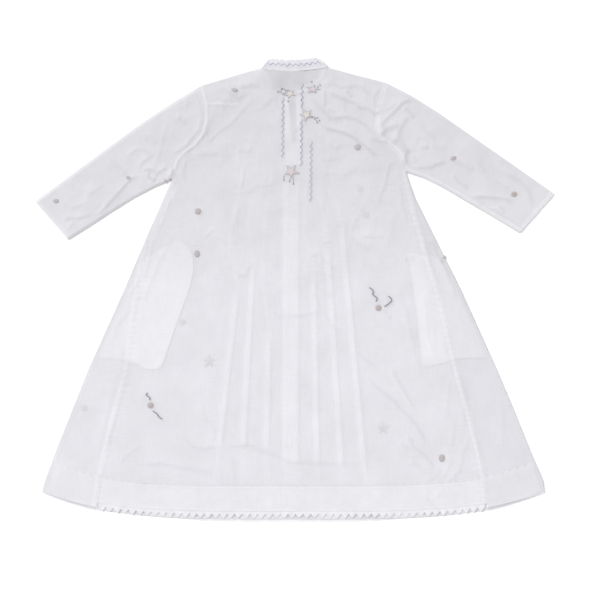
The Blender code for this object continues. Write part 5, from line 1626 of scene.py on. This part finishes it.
outlines = np.array([round_outline(KNOT_WIDE, KNOT_WIDE, 0, sides=10, lobes=0)] * len(KNOTS))
points = pads(np.array(KNOTS) * MM, outlines, KNOT_HEIGHT, surface)[0]
knots = make_piece("french_knots", [points], grey_thread, closed=True, capped=True)

chains, beads = [], []
for line in WAVY_LINES:
    line = np.array(line) * MM
    start, long = line[0, 1], line[1, 1] - line[0, 1]
    path = wavy_path(line, np.linspace(start, start + long, int(long / WAVE_LENGTH * WAVE_POINTS)))
    links = 1 + LINK_SWELL * np.abs(np.sin(np.pi * lengths_along(path) / CHAIN_LINK))
    chains.append(floss_cord(path, CHAIN_RADIUS * links, surface))
    crests = 0.25 + 0.5 * np.arange(int(long / WAVE_LENGTH * 2))
    beads.append(wavy_path(line, start + WAVE_LENGTH * crests))
wavy = make_piece("chain_stitch_wavy_lines", chains, lavender_thread, closed=True, capped=True)
beads = np.concatenate(beads)
outlines = np.array([round_outline(BEAD_WIDE, BEAD_TALL, 0, sides=8, lobes=0)] * len(beads))
points = pads(beads, outlines, BEAD_HEIGHT, surface)[0]
chain_ends = make_piece("chain_stitch_turns", [points], violet_thread, closed=True, capped=True)

tails = [
    floss_cord(smooth_line(line, np.linspace(0, 1, count)), radius, surface)
    for lines, count, radius in ((TAILS, 60, TAIL_RADIUS), (CURLS, 40, CURL_RADIUS))
    for line in lines
]
for place, outline in zip(star_places, star_outlines):
    rim = outline + np.array(place) * MM
    tails.append(floss_cord(np.vstack([rim, rim[:2]]), RIM_RADIUS, surface))
cords = make_piece("couched_cords", tails, grey_thread, closed=True, capped=True)

far_spot = round_outline(FAR_SPOT_WIDE, FAR_SPOT_WIDE, 0)
far_star = star_outline((0, 0), [(0, -14), (13, -4), (8, 12), (-8, 12), (-13, -4)])
far_side = pad_group("embroidery_on_the_front", far_floss, [
    (places, [outline] * len(places), [0.5] * len(places), FAR_HEIGHT, level(FAR_Z))
    for places, outline in ((FAR_SPOTS, far_spot), (FAR_STARS, far_star))
])

seam, free = stretches[1]
collar_line = (seam * (1 - COLLAR_WAVE_AT) + free * COLLAR_WAVE_AT) / MM
path = smooth_line(collar_line[::6], np.linspace(0, 1, 220))
swing = COLLAR_WAVE_SWING * np.sin(2 * np.pi * lengths_along(path) / COLLAR_WAVE_LENGTH)
path = path + right_of(path) * swing[:, None]
thread = floss_cord(path[6:-6], COLLAR_WAVE_RADIUS, level(COLLAR_HIGH_Z + COLLAR_WAVE_LIFT))
collar_wave = make_piece(
    "collar_wavy_stitch", [thread], lavender_thread, closed=True, capped=True
)
for piece in (stars, spots, knots, wavy, chain_ends, cords, far_side, collar_wave):
    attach(piece, "root")
